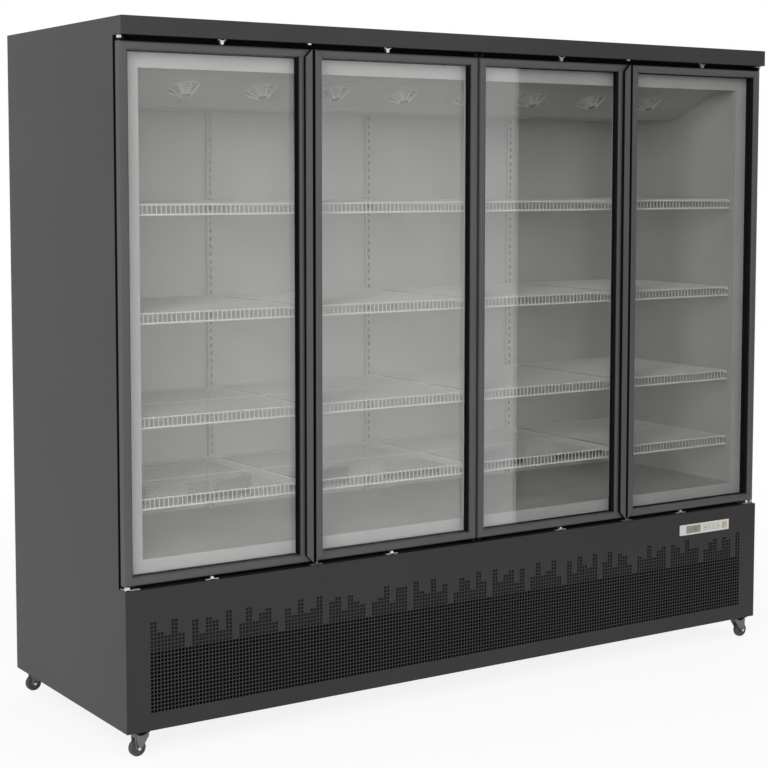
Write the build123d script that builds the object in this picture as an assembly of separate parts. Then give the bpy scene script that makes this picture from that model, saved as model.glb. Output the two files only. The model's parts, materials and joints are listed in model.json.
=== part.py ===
from build123d import *
import os
from math import atan2, cos, degrees, sin, tan

# Cabinet: X runs along the width, the front faces -Y, Z = 0 is the floor
door_count = 4
door_pitch = 620.0
overall_depth = 834.0
castor_height = 74.0
plinth_height = 411.0
door_zone_height = 1559.0
header_height = 52.0
sheet = 2.0
wall = 70.0
floor_rise = 75.0
lintel_height = 86.0
liner_sheet = 2.0
plinth_setback = 10.0
door_setback = 17.0

# Front frame that the doors close against
front_frame_depth = 18.0
land_width = 28.0
band_setback = 6.0
mullion_width = 40.0

# Doors
door_gap = 8.0
door_gap_top = 16.0
door_gap_bottom = 11.0
hinge_stile_face = 25.0
pull_stile_face = 33.0
rail_face = 25.0
glass_setback = 20.0
rebate_depth = 12.0
glass_bite = 8.0
pane = 4.0
pane_gap = 10.0
spacer_width = 10.0
glass_clearance = 2.0
seat_clearance = 0.3
lip_width = 23.0
lip_proud = 16.0
lip_sheet = 2.5
lip_end_gap = 2.0

# Hinges and catches
hinge_inset = 8.0
hinge_setback = 8.0
pin_radius = 3.0
running_clearance = 0.05
pin_engagement = 18.0
bracket_sheet = 3.0
bracket_length = 46.0
riser_width = 12.0
catch_length = 40.0
catch_depth = 10.0
peg_width = 7.0
catch_offsets_low = (-30.0, -20.0, 36.0, -45.0)
catch_offsets_high = (14.0, -37.0, 23.0, 28.0)

# Plinth perforation, in columns of slots with stepped tops
grille_side_margin = 80.0
grille_bottom = 54.0
grille_pitch = 116.0
slot_width = 86.0
slot_height = 76.0
slot_bridge = 10.0
slot_rows = 2
grille_step = 11.0
grille_steps = 7

# Controller strip on the plinth
controller_width = 235.0
controller_height = 37.0
controller_from_right = 250.0
controller_from_ledge = 60.0
bezel_proud = 3.0
bezel_rim = 7.0
housing_depth = 30.0
display_margin = 31.0
display_width = 67.0
display_height = 25.0
display_depth = 2.0
button_count = 4
button_width = 14.0
button_height = 17.0
button_depth = 7.0
button_proud = 1.2
button_travel = 1.0
button_pitch = 21.5
button_clearance = 0.25

# Shelves and their uprights
shelf_levels = {"bottom": 167.0, "lower": 402.0, "upper": 702.0, "top": 1012.0}
shelf_front_gap = 6.0
shelf_side_gap = 3.0
shelf_wire = 6.0
shelf_lip = 30.0
shelf_opening_count = 3
upright_width = 20.0
upright_depth = 12.0
bracket_height = 8.0
bracket_reach = 8.0

# Air system
duct_depth = 92.0
duct_slots = 6
duct_slot_width = 240.0
duct_slot_height = 60.0
duct_slot_rise = 30.0
canopy_height = 160.0
canopy_front_height = 36.0
canopy_slope_run = 312.0
fan_count = 8
fan_pitch = 262.0
fan_run = 182.0
fan_opening_radius = 75.0
fan_tip_clearance = 5.0
guard_rim = 8.0
guard_sheet = 3.0
guard_drop = 26.0
guard_bars = 2
fan_motor_radius = 20.0
fan_hub_radius = 22.0
fan_hub_height = 18.0
fan_boss_radius = 6.0
fan_boss_height = 2.0
fan_blades = 3
blade_root_chord = 24.0
blade_tip_chord = 36.0
blade_sheet = 2.0
blade_pitch_angle = 26.0
pressing_sides = 10
coil_end_margin = 60.0
coil_plate = 3.0
coil_air_gap = 25.0

# Machine space in the plinth
tray_sheet = 3.0
tray_height = 60.0
post_width = 40.0
compressor_radius = 95.0
compressor_top_radius = 70.0
compressor_height = 170.0
compressor_dome = 40.0
compressor_plate = 230.0
compressor_foot = 20.0
condenser_width = 420.0
condenser_height = 290.0
condenser_thickness = 60.0
condenser_setback = 60.0
fan_box_width = 300.0
fan_box_height = 270.0
fan_box_depth = 70.0
machine_offset = 640.0

# Castors
plate_side = 44.0
plate_sheet = 3.0
castor_inset_side = 52.0
castor_inset_front = 25.0
castor_inset_back = 31.0
castor_trail = 10.0
wheel_radius = 25.0
wheel_width = 20.0
wheel_sides = 24
wheel_side_gap = 1.5
fork_sheet = 3.0
crown_height = 13.0
king_pin_radius = 5.0
crown_reach = 17.0
king_head_radius = 9.0
king_head_height = 3.0
axial_clearance = 0.3
axle_radius = 4.0
axle_nut_radius = 7.0
axle_nut_height = 4.0

# Planes worked out from the sizes above
width = door_count * door_pitch
half = width / 2
y_header = -overall_depth / 2
y_back = overall_depth / 2
y_plinth = y_header + plinth_setback
y_door = y_header + door_setback
glass_pack = 2 * pane + pane_gap
y_glass = y_door + glass_setback
y_frame_back = y_glass + rebate_depth
y_body = y_glass + glass_pack + glass_clearance
y_frame_end = y_body + front_frame_depth
y_rear = y_back - wall
y_duct = y_rear - duct_depth
y_hinge = y_door + hinge_setback
z_base = castor_height
z_ledge = z_base + plinth_height
z_head = z_ledge + door_zone_height
z_top = z_head + header_height
z_floor = z_ledge + floor_rise
z_opening = z_head - lintel_height
z_ceiling = z_top - wall
z_canopy = z_ceiling - canopy_height
z_door_bottom = z_ledge + door_gap_bottom
z_door_top = z_head - door_gap_top
x_skin = half - sheet
x_inner = half - wall
gasket_inner = hinge_stile_face - glass_bite - 2 * seat_clearance
bay_edges = [-x_inner] + [k * door_pitch - half for k in range(1, door_count)] + [x_inner]
fan_centres = [(k - (fan_count - 1) / 2) * fan_pitch for k in range(fan_count)]


def block(x0, x1, y0, y1, z0, z1):
    """Box between two corners."""
    centre = Pos((x0 + x1) / 2, (y0 + y1) / 2, (z0 + z1) / 2)
    return centre * Box(x1 - x0, y1 - y0, z1 - z0)


def prism_y(outline, y0, y1):
    """Outline of (x, z) points carried from y0 to y1."""
    face = Face(Wire.make_polygon([Vector(x, y0, z) for x, z in outline]))
    return extrude(face, amount=y1 - y0, dir=(0, 1, 0))


def prism_x(outline, x0, x1):
    """Outline of (y, z) points carried from x0 to x1."""
    face = Face(Wire.make_polygon([Vector(x0, y, z) for y, z in outline]))
    return extrude(face, amount=x1 - x0, dir=(1, 0, 0))


def post(x, y, z0, z1, radius):
    """Upright cylinder."""
    return Pos(x, y, (z0 + z1) / 2) * Cylinder(radius, z1 - z0)


def bar_x(x0, x1, y, z, radius):
    """Cylinder along X."""
    return Pos((x0 + x1) / 2, y, z) * Rot(0, 90, 0) * Cylinder(radius, x1 - x0)


def frame_ring(x0, x1, z0, z1, inset, band, y0, y1):
    """Rectangular ring, inset from an outline, band wide."""
    outer = block(x0 + inset, x1 - inset, y0, y1, z0 + inset, z1 - inset)
    reach = inset + band
    return outer - block(x0 + reach, x1 - reach, y0, y1, z0 + reach, z1 - reach)


def side_panel(side):
    """Folded side skin, stepped forward beside the header and the plinth."""
    outline = [
        (y_plinth + sheet, z_base),
        (y_plinth + sheet, z_ledge),
        (y_body, z_ledge),
        (y_body, z_head),
        (y_header + sheet, z_head),
        (y_header + sheet, z_top),
        (y_back, z_top),
        (y_back, z_base),
    ]
    inner, outer = sorted([side * x_skin, side * half])
    return prism_x(outline, inner, outer)


def back_panel():
    """Upper and lower back sheets, and the strips between them that leave a row of air slots."""
    y0 = y_back - sheet
    z0 = z_base + tray_height + duct_slot_rise
    z1 = z0 + duct_slot_height
    pieces = [
        block(-x_skin, x_skin, y0, y_back, z_base, z0),
        block(-x_skin, x_skin, y0, y_back, z1, z_top - sheet),
    ]
    pitch = 2 * x_inner / duct_slots
    centres = [(k - (duct_slots - 1) / 2) * pitch for k in range(duct_slots)]
    starts = [-x_skin] + [x + duct_slot_width / 2 for x in centres]
    ends = [x - duct_slot_width / 2 for x in centres] + [x_skin]
    return pieces + [block(a, b, y0, y_back, z0, z1) for a, b in zip(starts, ends)]


def header_fascia():
    """Front fascia over the doors, and the return under it."""
    front = block(-half, half, y_header, y_header + sheet, z_head, z_top)
    return [front, block(-x_skin, x_skin, y_header + sheet, y_body, z_head, z_head + sheet)]


def grille_slots():
    """Cutters for the plinth: whole rows below, and a top slot of stepped height in each column."""
    span = width - 2 * grille_side_margin
    columns = int(span / grille_pitch)
    reach = slot_width / 2
    cutters = []
    for k in range(columns):
        x = (k - (columns - 1) / 2) * grille_pitch
        z = z_base + grille_bottom
        steps = round(grille_steps * (0.5 + 0.5 * sin(2.1 * k) * cos(0.37 * k)))
        heights = [slot_height] * slot_rows + [steps * grille_step]
        for height in heights:
            if height > 0:
                cutters.append(block(x - reach, x + reach, y_plinth, y_plinth + sheet, z, z + height))
            z += height + slot_bridge
    return cutters


x_controller = half - controller_from_right
z_controller = z_ledge - controller_from_ledge


def controller_outline(margin, y0, y1):
    """Block of the controller's outline, drawn in by a margin."""
    dx = controller_width / 2 - margin
    dz = controller_height / 2 - margin
    return block(x_controller - dx, x_controller + dx, y0, y1, z_controller - dz, z_controller + dz)


def plinth_panel():
    """Perforated lower panel with the controller's cut-out."""
    front = block(-half, half, y_plinth, y_plinth + sheet, z_base, z_ledge)
    cut_out = controller_outline(bezel_rim - seat_clearance, y_plinth, y_plinth + sheet)
    return front - grille_slots() - cut_out


def door_sill():
    """Ledge under the doors, from the plinth panel back to the front frame."""
    return block(-x_skin, x_skin, y_plinth + sheet, y_body, z_ledge - sheet, z_ledge)


def base_frame():
    """Floor sheet with a wall along each side, and the posts that carry the insulated cabinet on it."""
    y0 = y_plinth + sheet
    y1 = y_back - sheet
    z0 = z_base + tray_sheet
    z1 = z_base + tray_height
    pieces = [block(-x_skin, x_skin, y0, y1, z_base, z0)]
    for y in (y0, y1 - tray_sheet):
        pieces.append(block(-x_skin, x_skin, y, y + tray_sheet, z0, z1))
    for x in (-x_skin, x_skin - tray_sheet):
        pieces.append(block(x, x + tray_sheet, y0 + tray_sheet, y1 - tray_sheet, z0, z1))
    for x in (-x_skin + tray_sheet, -post_width / 2, x_skin - tray_sheet - post_width):
        for y in (y_frame_end, y1 - tray_sheet - post_width):
            pieces.append(block(x, x + post_width, y, y + post_width, z0, z_ledge))
    return pieces


def insulation():
    """Foam slabs between the outer skins and the liner."""
    x_foam = x_inner + liner_sheet
    y0 = y_frame_end
    y1 = y_back - sheet
    z_roof = z_top - sheet
    return [
        block(-x_skin, -x_foam, y0, y1, z_ledge, z_roof),
        block(x_foam, x_skin, y0, y1, z_ledge, z_roof),
        block(-x_foam, x_foam, y0, y1, z_ceiling + liner_sheet, z_roof),
        block(-x_foam, x_foam, y0, y1, z_ledge, z_floor - liner_sheet),
        block(-x_foam, x_foam, y_rear + liner_sheet, y1, z_floor - liner_sheet, z_ceiling + liner_sheet),
    ]


def inner_liner():
    """Thin inner box, open at the front."""
    x_foam = x_inner + liner_sheet
    shell = block(-x_foam, x_foam, y_frame_end, y_rear + liner_sheet,
                  z_floor - liner_sheet, z_ceiling + liner_sheet)
    return shell - block(-x_inner, x_inner, y_frame_end, y_rear, z_floor, z_ceiling)


def front_frame():
    """Gasket land with its set-back inner band, and the mullions between the doors."""
    y_band = y_body + band_setback
    pieces = []
    for side in (-1, 1):
        land = sorted([side * x_skin, side * (x_skin - land_width)])
        band = sorted([side * (x_skin - land_width), side * x_inner])
        upright = block(*land, y_body, y_frame_end, z_ledge, z_head)
        pieces.append(upright + block(*band, y_band, y_frame_end, z_ledge, z_head))
    for z_edge, z_inside in ((z_ledge, z_floor), (z_head, z_opening)):
        z_step = z_edge + land_width if z_inside > z_edge else z_edge - land_width
        rail = block(-x_inner, x_inner, y_body, y_frame_end, *sorted([z_edge, z_step]))
        pieces.append(rail + block(-x_inner, x_inner, y_band, y_frame_end, *sorted([z_step, z_inside])))
    for x in bay_edges[1:-1]:
        reach = mullion_width / 2
        pieces.append(block(x - reach, x + reach, y_body, y_frame_end, z_floor, z_opening))
    return pieces


y_front_upright = y_frame_end + upright_depth
y_rear_upright = y_duct - upright_depth


def at_bay_edge(k, reach, y0, y1, z0, z1):
    """Block centred on a bay edge, cut off where that edge is a side wall."""
    x0 = bay_edges[k] - (0 if k == 0 else reach)
    x1 = bay_edges[k] + (0 if k == door_count else reach)
    return block(x0, x1, y0, y1, z0, z1)


def shelf_uprights():
    """Channels behind the front frame and on the duct, at the edges of the bays."""
    pieces = []
    for k in range(door_count + 1):
        reach = upright_width / 2
        pieces.append(at_bay_edge(k, reach, y_frame_end, y_front_upright, z_floor, z_opening))
        pieces.append(at_bay_edge(k, reach, y_rear_upright, y_duct, z_floor, z_canopy))
    return pieces


def shelf_brackets():
    """Rails from the front to the rear uprights, under the ends of the shelves."""
    reach = upright_width / 2 + bracket_reach
    pieces = []
    for rise in shelf_levels.values():
        z = z_floor + rise
        for k in range(door_count + 1):
            pieces.append(at_bay_edge(k, reach, y_front_upright, y_rear_upright, z - bracket_height, z))
    return pieces


def wire_shelf(x0, x1, z):
    """Open shelf deck of bars, and the railed lip welded under its front."""
    y0 = y_frame_end + shelf_front_gap
    y1 = y_rear_upright - shelf_side_gap
    pitch = (x1 - x0 - shelf_wire) / shelf_opening_count
    deck = block(x0, x1, y0, y1, z, z + shelf_wire)
    lip = block(x0, x1, y0, y0 + shelf_wire, z - shelf_lip, z)
    lip -= block(x0 + shelf_wire, x1 - shelf_wire, y0, y0 + shelf_wire, z - shelf_lip + shelf_wire, z)
    for k in range(shelf_opening_count):
        start = x0 + shelf_wire + k * pitch
        end = start + pitch - shelf_wire
        deck -= block(start, end, y0 + shelf_wire, y1 - shelf_wire, z, z + shelf_wire)
    return [deck, lip]


def shelves(rise):
    """One wire shelf for each door bay, at one level."""
    margin = upright_width / 2 + shelf_side_gap
    z = z_floor + rise
    pieces = []
    for left, right in zip(bay_edges, bay_edges[1:]):
        pieces += wire_shelf(left + margin, right - margin, z)
    return pieces


def air_duct_panel():
    """Panel in front of the rear air duct, with return air slots at its foot."""
    panel = block(-x_inner, x_inner, y_duct, y_duct + sheet, z_floor, z_canopy)
    slot = block(-duct_slot_width / 2, duct_slot_width / 2, y_duct, y_duct + sheet, 0, duct_slot_height)
    pitch = 2 * x_inner / duct_slots
    rise = z_floor + duct_slot_rise
    return panel - [Pos((k - (duct_slots - 1) / 2) * pitch, 0, rise) * slot for k in range(duct_slots)]


y_slope_end = y_frame_end + canopy_slope_run
z_slope_start = z_ceiling - canopy_front_height
slope = atan2(z_slope_start - z_canopy, canopy_slope_run)
y_fan = y_frame_end + fan_run
z_fan = z_slope_start - fan_run * tan(slope)
z_hub = sheet + fan_tip_clearance


def on_slope(x):
    """Place of a fan: Z is square to the sloping underside of the canopy, and points into it."""
    return Pos(x, y_fan, z_fan) * Rot(-degrees(slope), 0, 0)


def pressing(radius, z0, z1):
    """Many-sided pressing about Z."""
    return Pos(0, 0, z0) * extrude(RegularPolygon(radius, pressing_sides), amount=z1 - z0)


def fan_canopy():
    """Cover of the evaporator: a sloping panel with the fan mouths, and a flat tray behind it."""
    y_end = y_duct + sheet
    fold = [(y_slope_end, z_canopy), (y_slope_end + sheet * tan(slope / 2), z_canopy + sheet)]
    front = [(y_frame_end, z_slope_start + sheet / cos(slope)), (y_frame_end, z_slope_start)]
    back = [(y_end, z_canopy + sheet), (y_end, z_canopy)]
    mouth = pressing(fan_opening_radius, -sheet, 2 * sheet)
    panel = prism_x(fold + front, -x_inner, x_inner) - [on_slope(x) * mouth for x in fan_centres]
    return [panel, prism_x(fold + back, -x_inner, x_inner)]


def fan_guard(x):
    """Dished bars under a fan mouth, with the motor that they carry."""
    foot = fan_opening_radius + guard_rim
    dish = [
        (-foot, 0),
        (-foot, -guard_sheet),
        (-fan_motor_radius, -guard_drop),
        (fan_motor_radius, -guard_drop),
        (foot, -guard_sheet),
        (foot, 0),
        (fan_opening_radius, 0),
        (fan_motor_radius, guard_sheet - guard_drop),
        (-fan_motor_radius, guard_sheet - guard_drop),
        (-fan_opening_radius, 0),
    ]
    bar = prism_y(dish, -guard_sheet / 2, guard_sheet / 2)
    guard = pressing(fan_motor_radius, -guard_drop, z_hub - fan_boss_height - axial_clearance)
    for k in range(guard_bars):
        guard += Rot(0, 0, 180 * (k + 0.5) / guard_bars) * bar
    return on_slope(x) * guard


def evaporator_fan(x):
    """Rotor on a round boss over its motor, with flat paddle blades."""
    tip_radius = fan_opening_radius - fan_tip_clearance
    tip = (tip_radius ** 2 - (blade_tip_chord / 2) ** 2) ** 0.5
    paddle = [
        (fan_hub_radius / 2, -blade_root_chord / 2),
        (tip, -blade_tip_chord / 2),
        (tip, blade_tip_chord / 2),
        (fan_hub_radius / 2, blade_root_chord / 2),
    ]
    blade = Rot(90 - blade_pitch_angle, 0, 0) * prism_y(paddle, -blade_sheet / 2, blade_sheet / 2)
    rotor = pressing(fan_hub_radius, z_hub, z_hub + fan_hub_height)
    rotor += post(0, 0, z_hub - fan_boss_height, z_hub, fan_boss_radius)
    for k in range(fan_blades):
        rotor += Pos(0, 0, z_hub + fan_hub_height / 2) * Rot(0, 0, 360 * k / fan_blades) * blade
    return on_slope(x) * rotor


def evaporator_coil():
    """Finned coil over the canopy's tray, hung between end plates."""
    x_end = x_inner - coil_end_margin
    y0 = y_slope_end + coil_air_gap
    y1 = y_duct - coil_air_gap
    z0 = z_canopy + sheet
    coil = block(-x_end, x_end, y0, y1, z0 + coil_air_gap, z_ceiling - coil_air_gap)
    for side in (-1, 1):
        plate = sorted([side * x_end, side * (x_end + coil_plate)])
        coil += block(*plate, y0, y1, z0, z_ceiling)
    return coil


def hinge_side(k):
    """-1 where door k hangs on its left edge, 1 where it hangs on its right."""
    return -1 if k % 2 == 0 else 1


def door_span(k):
    """Left and right edges of door k."""
    x0 = k * door_pitch - half + door_gap / 2
    return x0, x0 + door_pitch - door_gap


def hinge_x(k):
    """Hinge axis of door k."""
    return door_span(k)[0 if hinge_side(k) < 0 else 1] - hinge_side(k) * hinge_inset


def stile_faces(k):
    """Face widths of the left and right stiles of door k."""
    faces = [hinge_stile_face, pull_stile_face]
    return faces if hinge_side(k) < 0 else faces[::-1]


def door_pull(k):
    """Finger pull along the free edge: a web and a lip with mitred ends."""
    free = door_span(k)[1 if hinge_side(k) < 0 else 0]
    inward = hinge_side(k)
    z0 = z_door_bottom + lip_end_gap
    z1 = z_door_top - lip_end_gap
    y0 = y_door - lip_proud
    edge = free + inward * lip_width
    outline = [(free, z0), (free, z1), (edge, z1 - lip_width), (edge, z0 + lip_width)]
    lip = prism_y(outline, y0, y0 + lip_sheet)
    web = sorted([free, free + inward * lip_sheet])
    return lip + block(*web, y0 + lip_sheet, y_door, z0, z1)


def door_frame(k):
    """Frame of door k: stiles with the pin port and the pull, rails between them, and the glass rebate."""
    x0, x1 = door_span(k)
    left, right = stile_faces(k)
    z0, z1 = z_door_bottom, z_door_top
    rebate = block(x0 + left - glass_bite, x1 - right + glass_bite, y_glass, y_frame_back,
                   z0 + rail_face - glass_bite, z1 - rail_face + glass_bite)
    left_stile = block(x0, x0 + left, y_door, y_frame_back, z0, z1) - rebate
    right_stile = block(x1 - right, x1, y_door, y_frame_back, z0, z1) - rebate
    hinge_stile, pull_stile = left_stile, right_stile
    if hinge_side(k) > 0:
        hinge_stile, pull_stile = right_stile, left_stile
    hinge_stile -= post(hinge_x(k), y_hinge, z0, z1, pin_radius + running_clearance)
    members = [hinge_stile, pull_stile + door_pull(k)]
    for z in (z0, z1 - rail_face):
        members.append(block(x0 + left, x1 - right, y_door, y_frame_back, z, z + rail_face) - rebate)
    return members


def glass_bounds(k):
    """Edges of the glass pack of door k: left, right, bottom, top."""
    x0, x1 = door_span(k)
    left, right = stile_faces(k)
    inset = seat_clearance - glass_bite
    rail = rail_face + inset
    return x0 + left + inset, x1 - right - inset, z_door_bottom + rail, z_door_top - rail


def door_glass(k):
    """Two panes of the sealed glass pack."""
    x0, x1, z0, z1 = glass_bounds(k)
    y_back_pane = y_glass + pane + pane_gap
    return [block(x0, x1, y, y + pane, z0, z1) for y in (y_glass, y_back_pane)]


def door_seals(k):
    """Gasket behind the frame, and the spacer between the panes."""
    x0, x1 = door_span(k)
    gasket = frame_ring(x0, x1, z_door_bottom, z_door_top, hinge_inset, gasket_inner - hinge_inset,
                        y_frame_back, y_body - seat_clearance)
    a, b, c, d = glass_bounds(k)
    spacer = frame_ring(a, b, c, d, 0, spacer_width, y_glass + pane, y_glass + pane + pane_gap)
    return [gasket, spacer]


def hinge_brackets():
    """Plates over and under each hinge edge, each with its pin on a riser."""
    pieces = []
    pin_length = pin_engagement - seat_clearance
    for k in range(door_count):
        x = hinge_x(k)
        span = sorted([x + hinge_side(k) * hinge_inset, x - hinge_side(k) * (bracket_length - hinge_inset)])
        reach = riser_width / 2
        y0 = y_hinge - reach
        low = block(*span, y0, y_body, z_ledge, z_ledge + bracket_sheet)
        low += block(x - reach, x + reach, y0, y0 + riser_width, z_ledge, z_door_bottom - seat_clearance)
        pieces.append(low + post(x, y_hinge, z_ledge, z_door_bottom + pin_length, pin_radius))
        high = block(*span, y0, y_body, z_head - bracket_sheet, z_head)
        high += block(x - reach, x + reach, y0, y0 + riser_width, z_door_top + seat_clearance, z_head)
        pieces.append(high + post(x, y_hinge, z_door_top - pin_length, z_head, pin_radius))
    return pieces


def door_catch(x, z_back, z_door):
    """Keeper bar along the ledge or the head, with a peg that stops short of the door."""
    y0 = y_door + seat_clearance
    y1 = y0 + catch_depth
    way = 1 if z_door > z_back else -1
    z_bar = sorted([z_back, z_back + way * bracket_sheet])
    bar = block(x - catch_length / 2, x + catch_length / 2, y0, y1, *z_bar)
    tip = z_door - way * 2 * seat_clearance
    return bar + block(x - peg_width / 2, x + peg_width / 2, y0, y1, *sorted([z_back, tip]))


def door_catches():
    """Keepers under and over each door, each set off from the middle of its door."""
    pieces = []
    for k in range(door_count):
        middle = sum(door_span(k)) / 2
        low = middle + catch_offsets_low[k % len(catch_offsets_low)]
        high = middle + catch_offsets_high[k % len(catch_offsets_high)]
        pieces.append(door_catch(low, z_ledge, z_door_bottom))
        pieces.append(door_catch(high, z_head, z_door_top))
    return pieces


y_bezel = y_plinth - bezel_proud
x_display = x_controller - controller_width / 2 + display_margin + display_width / 2
x_button = x_display + display_width / 2 + 2 * bezel_rim + button_width / 2


def button_block(k, margin, y0, y1):
    """Block of button k's outline, grown by a margin."""
    x = x_button + k * button_pitch
    dx = button_width / 2 + margin
    dz = button_height / 2 + margin
    return block(x - dx, x + dx, y0, y1, z_controller - dz, z_controller + dz)


def controller_display():
    """Display window, flush with the bezel."""
    dx = display_width / 2
    dz = display_height / 2
    return block(x_display - dx, x_display + dx, y_bezel, y_bezel + display_depth,
                 z_controller - dz, z_controller + dz)


def controller_housing():
    """Bezel and box of the controller, with a window seat and the button wells."""
    housing = controller_outline(0, y_bezel, y_plinth)
    housing += controller_outline(bezel_rim, y_plinth, y_plinth + housing_depth)
    housing -= controller_display()
    well = y_bezel - button_proud + button_depth + button_travel + button_clearance
    return housing - [button_block(k, button_clearance, y_bezel, well) for k in range(button_count)]


def control_button(k):
    """Push button that stands proud of the bezel."""
    y0 = y_bezel - button_proud
    return button_block(k, 0, y0, y0 + button_depth)


def compressor():
    """Sealed compressor with a stepped lid, on its foot plate."""
    y = y_rear - compressor_plate / 2
    z0 = z_base + tray_sheet
    z1 = z0 + compressor_foot
    z2 = z1 + compressor_height
    reach = compressor_plate / 2
    unit = block(-reach, reach, -reach, reach, z0, z1)
    unit += pressing(compressor_radius, z1, z2)
    unit += pressing(compressor_top_radius, z2, z2 + compressor_dome)
    return Pos(-machine_offset, y, 0) * unit


def condenser_coil():
    """Finned condenser behind the grille, with its closed fan box."""
    y0 = y_plinth + condenser_setback
    y1 = y0 + condenser_thickness
    z0 = z_base + tray_sheet
    reach = condenser_width / 2
    coil = block(-reach, reach, y0, y1, z0, z0 + condenser_height)
    reach = fan_box_width / 2
    coil += block(-reach, reach, y1, y1 + fan_box_depth, z0, z0 + fan_box_height)
    return Pos(machine_offset, 0, 0) * coil


castor_corners = {
    "front_left": (-1, -1),
    "front_right": (1, -1),
    "rear_left": (-1, 1),
    "rear_right": (1, 1),
}
z_crown = z_base - plate_sheet - axial_clearance - crown_height
z_king_head = z_crown - axial_clearance - king_head_height


def castor_place(corner):
    """Place of one castor's king pin, turned so that its wheel trails outwards."""
    side, end = castor_corners[corner]
    y = y_plinth + castor_inset_front if end < 0 else y_back - castor_inset_back
    return Pos(side * (half - castor_inset_side), y, 0) * Rot(0, 0, -90 * side)


def castor_plate(corner):
    """Top plate with its king pin and the nut under the fork."""
    reach = plate_side / 2
    plate = block(-reach, reach, -reach, reach, z_base - plate_sheet, z_base)
    plate += post(0, 0, z_king_head + king_head_height, z_base - plate_sheet, king_pin_radius)
    nut = extrude(RegularPolygon(king_head_radius, 6), amount=king_head_height)
    return castor_place(corner) * (plate + Pos(0, 0, z_king_head) * nut)


def castor_fork(corner):
    """Swivelling crown with two tapered legs, the wheel's axle and its nuts."""
    inside = wheel_width / 2 + wheel_side_gap
    outside = inside + fork_sheet
    fork = block(-outside, outside, -crown_reach, crown_reach, z_crown, z_crown + crown_height)
    fork -= post(0, 0, z_crown, z_crown + crown_height, king_pin_radius + running_clearance)
    toe = axle_nut_radius + fork_sheet
    leg = [
        (-crown_reach, z_crown),
        (crown_reach, z_crown),
        (castor_trail + toe, wheel_radius),
        (castor_trail, wheel_radius - toe),
        (castor_trail - toe, wheel_radius),
    ]
    nut = Rot(0, 90, 0) * extrude(RegularPolygon(axle_nut_radius, 6), amount=axle_nut_height)
    for x_leg, x_nut in ((-outside, -outside - axle_nut_height), (inside, outside)):
        fork += prism_x(leg, x_leg, x_leg + fork_sheet)
        fork += Pos(x_nut, castor_trail, wheel_radius) * nut
    fork += bar_x(-inside, inside, castor_trail, wheel_radius, axle_radius)
    return castor_place(corner) * fork


def castor_wheel(corner):
    """Solid wheel with a flat-sided tread, bored for its axle."""
    tread = RegularPolygon(wheel_radius, wheel_sides, major_radius=False, rotation=180 / wheel_sides)
    wheel = extrude(tread, amount=wheel_width) - post(0, 0, 0, wheel_width, axle_radius + running_clearance)
    return castor_place(corner) * Pos(-wheel_width / 2, castor_trail, wheel_radius) * Rot(0, 90, 0) * wheel


def all_parts():
    """Every node of the freezer, by name."""
    parts = {
        "left_side_panel": [side_panel(-1)],
        "right_side_panel": [side_panel(1)],
        "back_panel": back_panel(),
        "roof_panel": [block(-x_skin, x_skin, y_header + sheet, y_back, z_top - sheet, z_top)],
        "header_fascia": header_fascia(),
        "plinth_panel": [plinth_panel()],
        "door_sill": [door_sill()],
        "base_frame": base_frame(),
        "insulation": insulation(),
        "inner_liner": [inner_liner()],
        "front_frame": front_frame(),
        "shelf_uprights": shelf_uprights(),
        "shelf_brackets": shelf_brackets(),
        "air_duct_panel": [air_duct_panel()],
        "fan_canopy": fan_canopy(),
        "fan_guards": [fan_guard(x) for x in fan_centres],
        "evaporator_coil": [evaporator_coil()],
        "hinge_brackets": hinge_brackets(),
        "door_catches": door_catches(),
        "controller_housing": [controller_housing()],
        "controller_display": [controller_display()],
        "compressor": [compressor()],
        "condenser_coil": [condenser_coil()],
        "castor_plates": [castor_plate(corner) for corner in castor_corners],
    }
    for level, rise in shelf_levels.items():
        parts[f"{level}_shelves"] = shelves(rise)
    for k, x in enumerate(fan_centres):
        parts[f"evaporator_fan_{k + 1}"] = [evaporator_fan(x)]
    for k in range(door_count):
        parts[f"door_{k + 1}_frame"] = door_frame(k)
        parts[f"door_{k + 1}_glass"] = door_glass(k)
        parts[f"door_{k + 1}_seals"] = door_seals(k)
    for k in range(button_count):
        parts[f"control_button_{k + 1}"] = [control_button(k)]
    for corner in castor_corners:
        parts[f"castor_fork_{corner}"] = [castor_fork(corner)]
        parts[f"castor_wheel_{corner}"] = [castor_wheel(corner)]
    return parts


os.makedirs("parts", exist_ok=True)
for name, pieces in all_parts().items():
    solids = [solid for piece in pieces for solid in piece.solids()]
    export_step(Compound(children=solids), f"parts/{name}.step")
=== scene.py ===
import json
import math

import bmesh
import bpy
from bpy.props import FloatProperty, FloatVectorProperty, IntProperty, PointerProperty
from mathutils import Matrix, Vector


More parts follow.
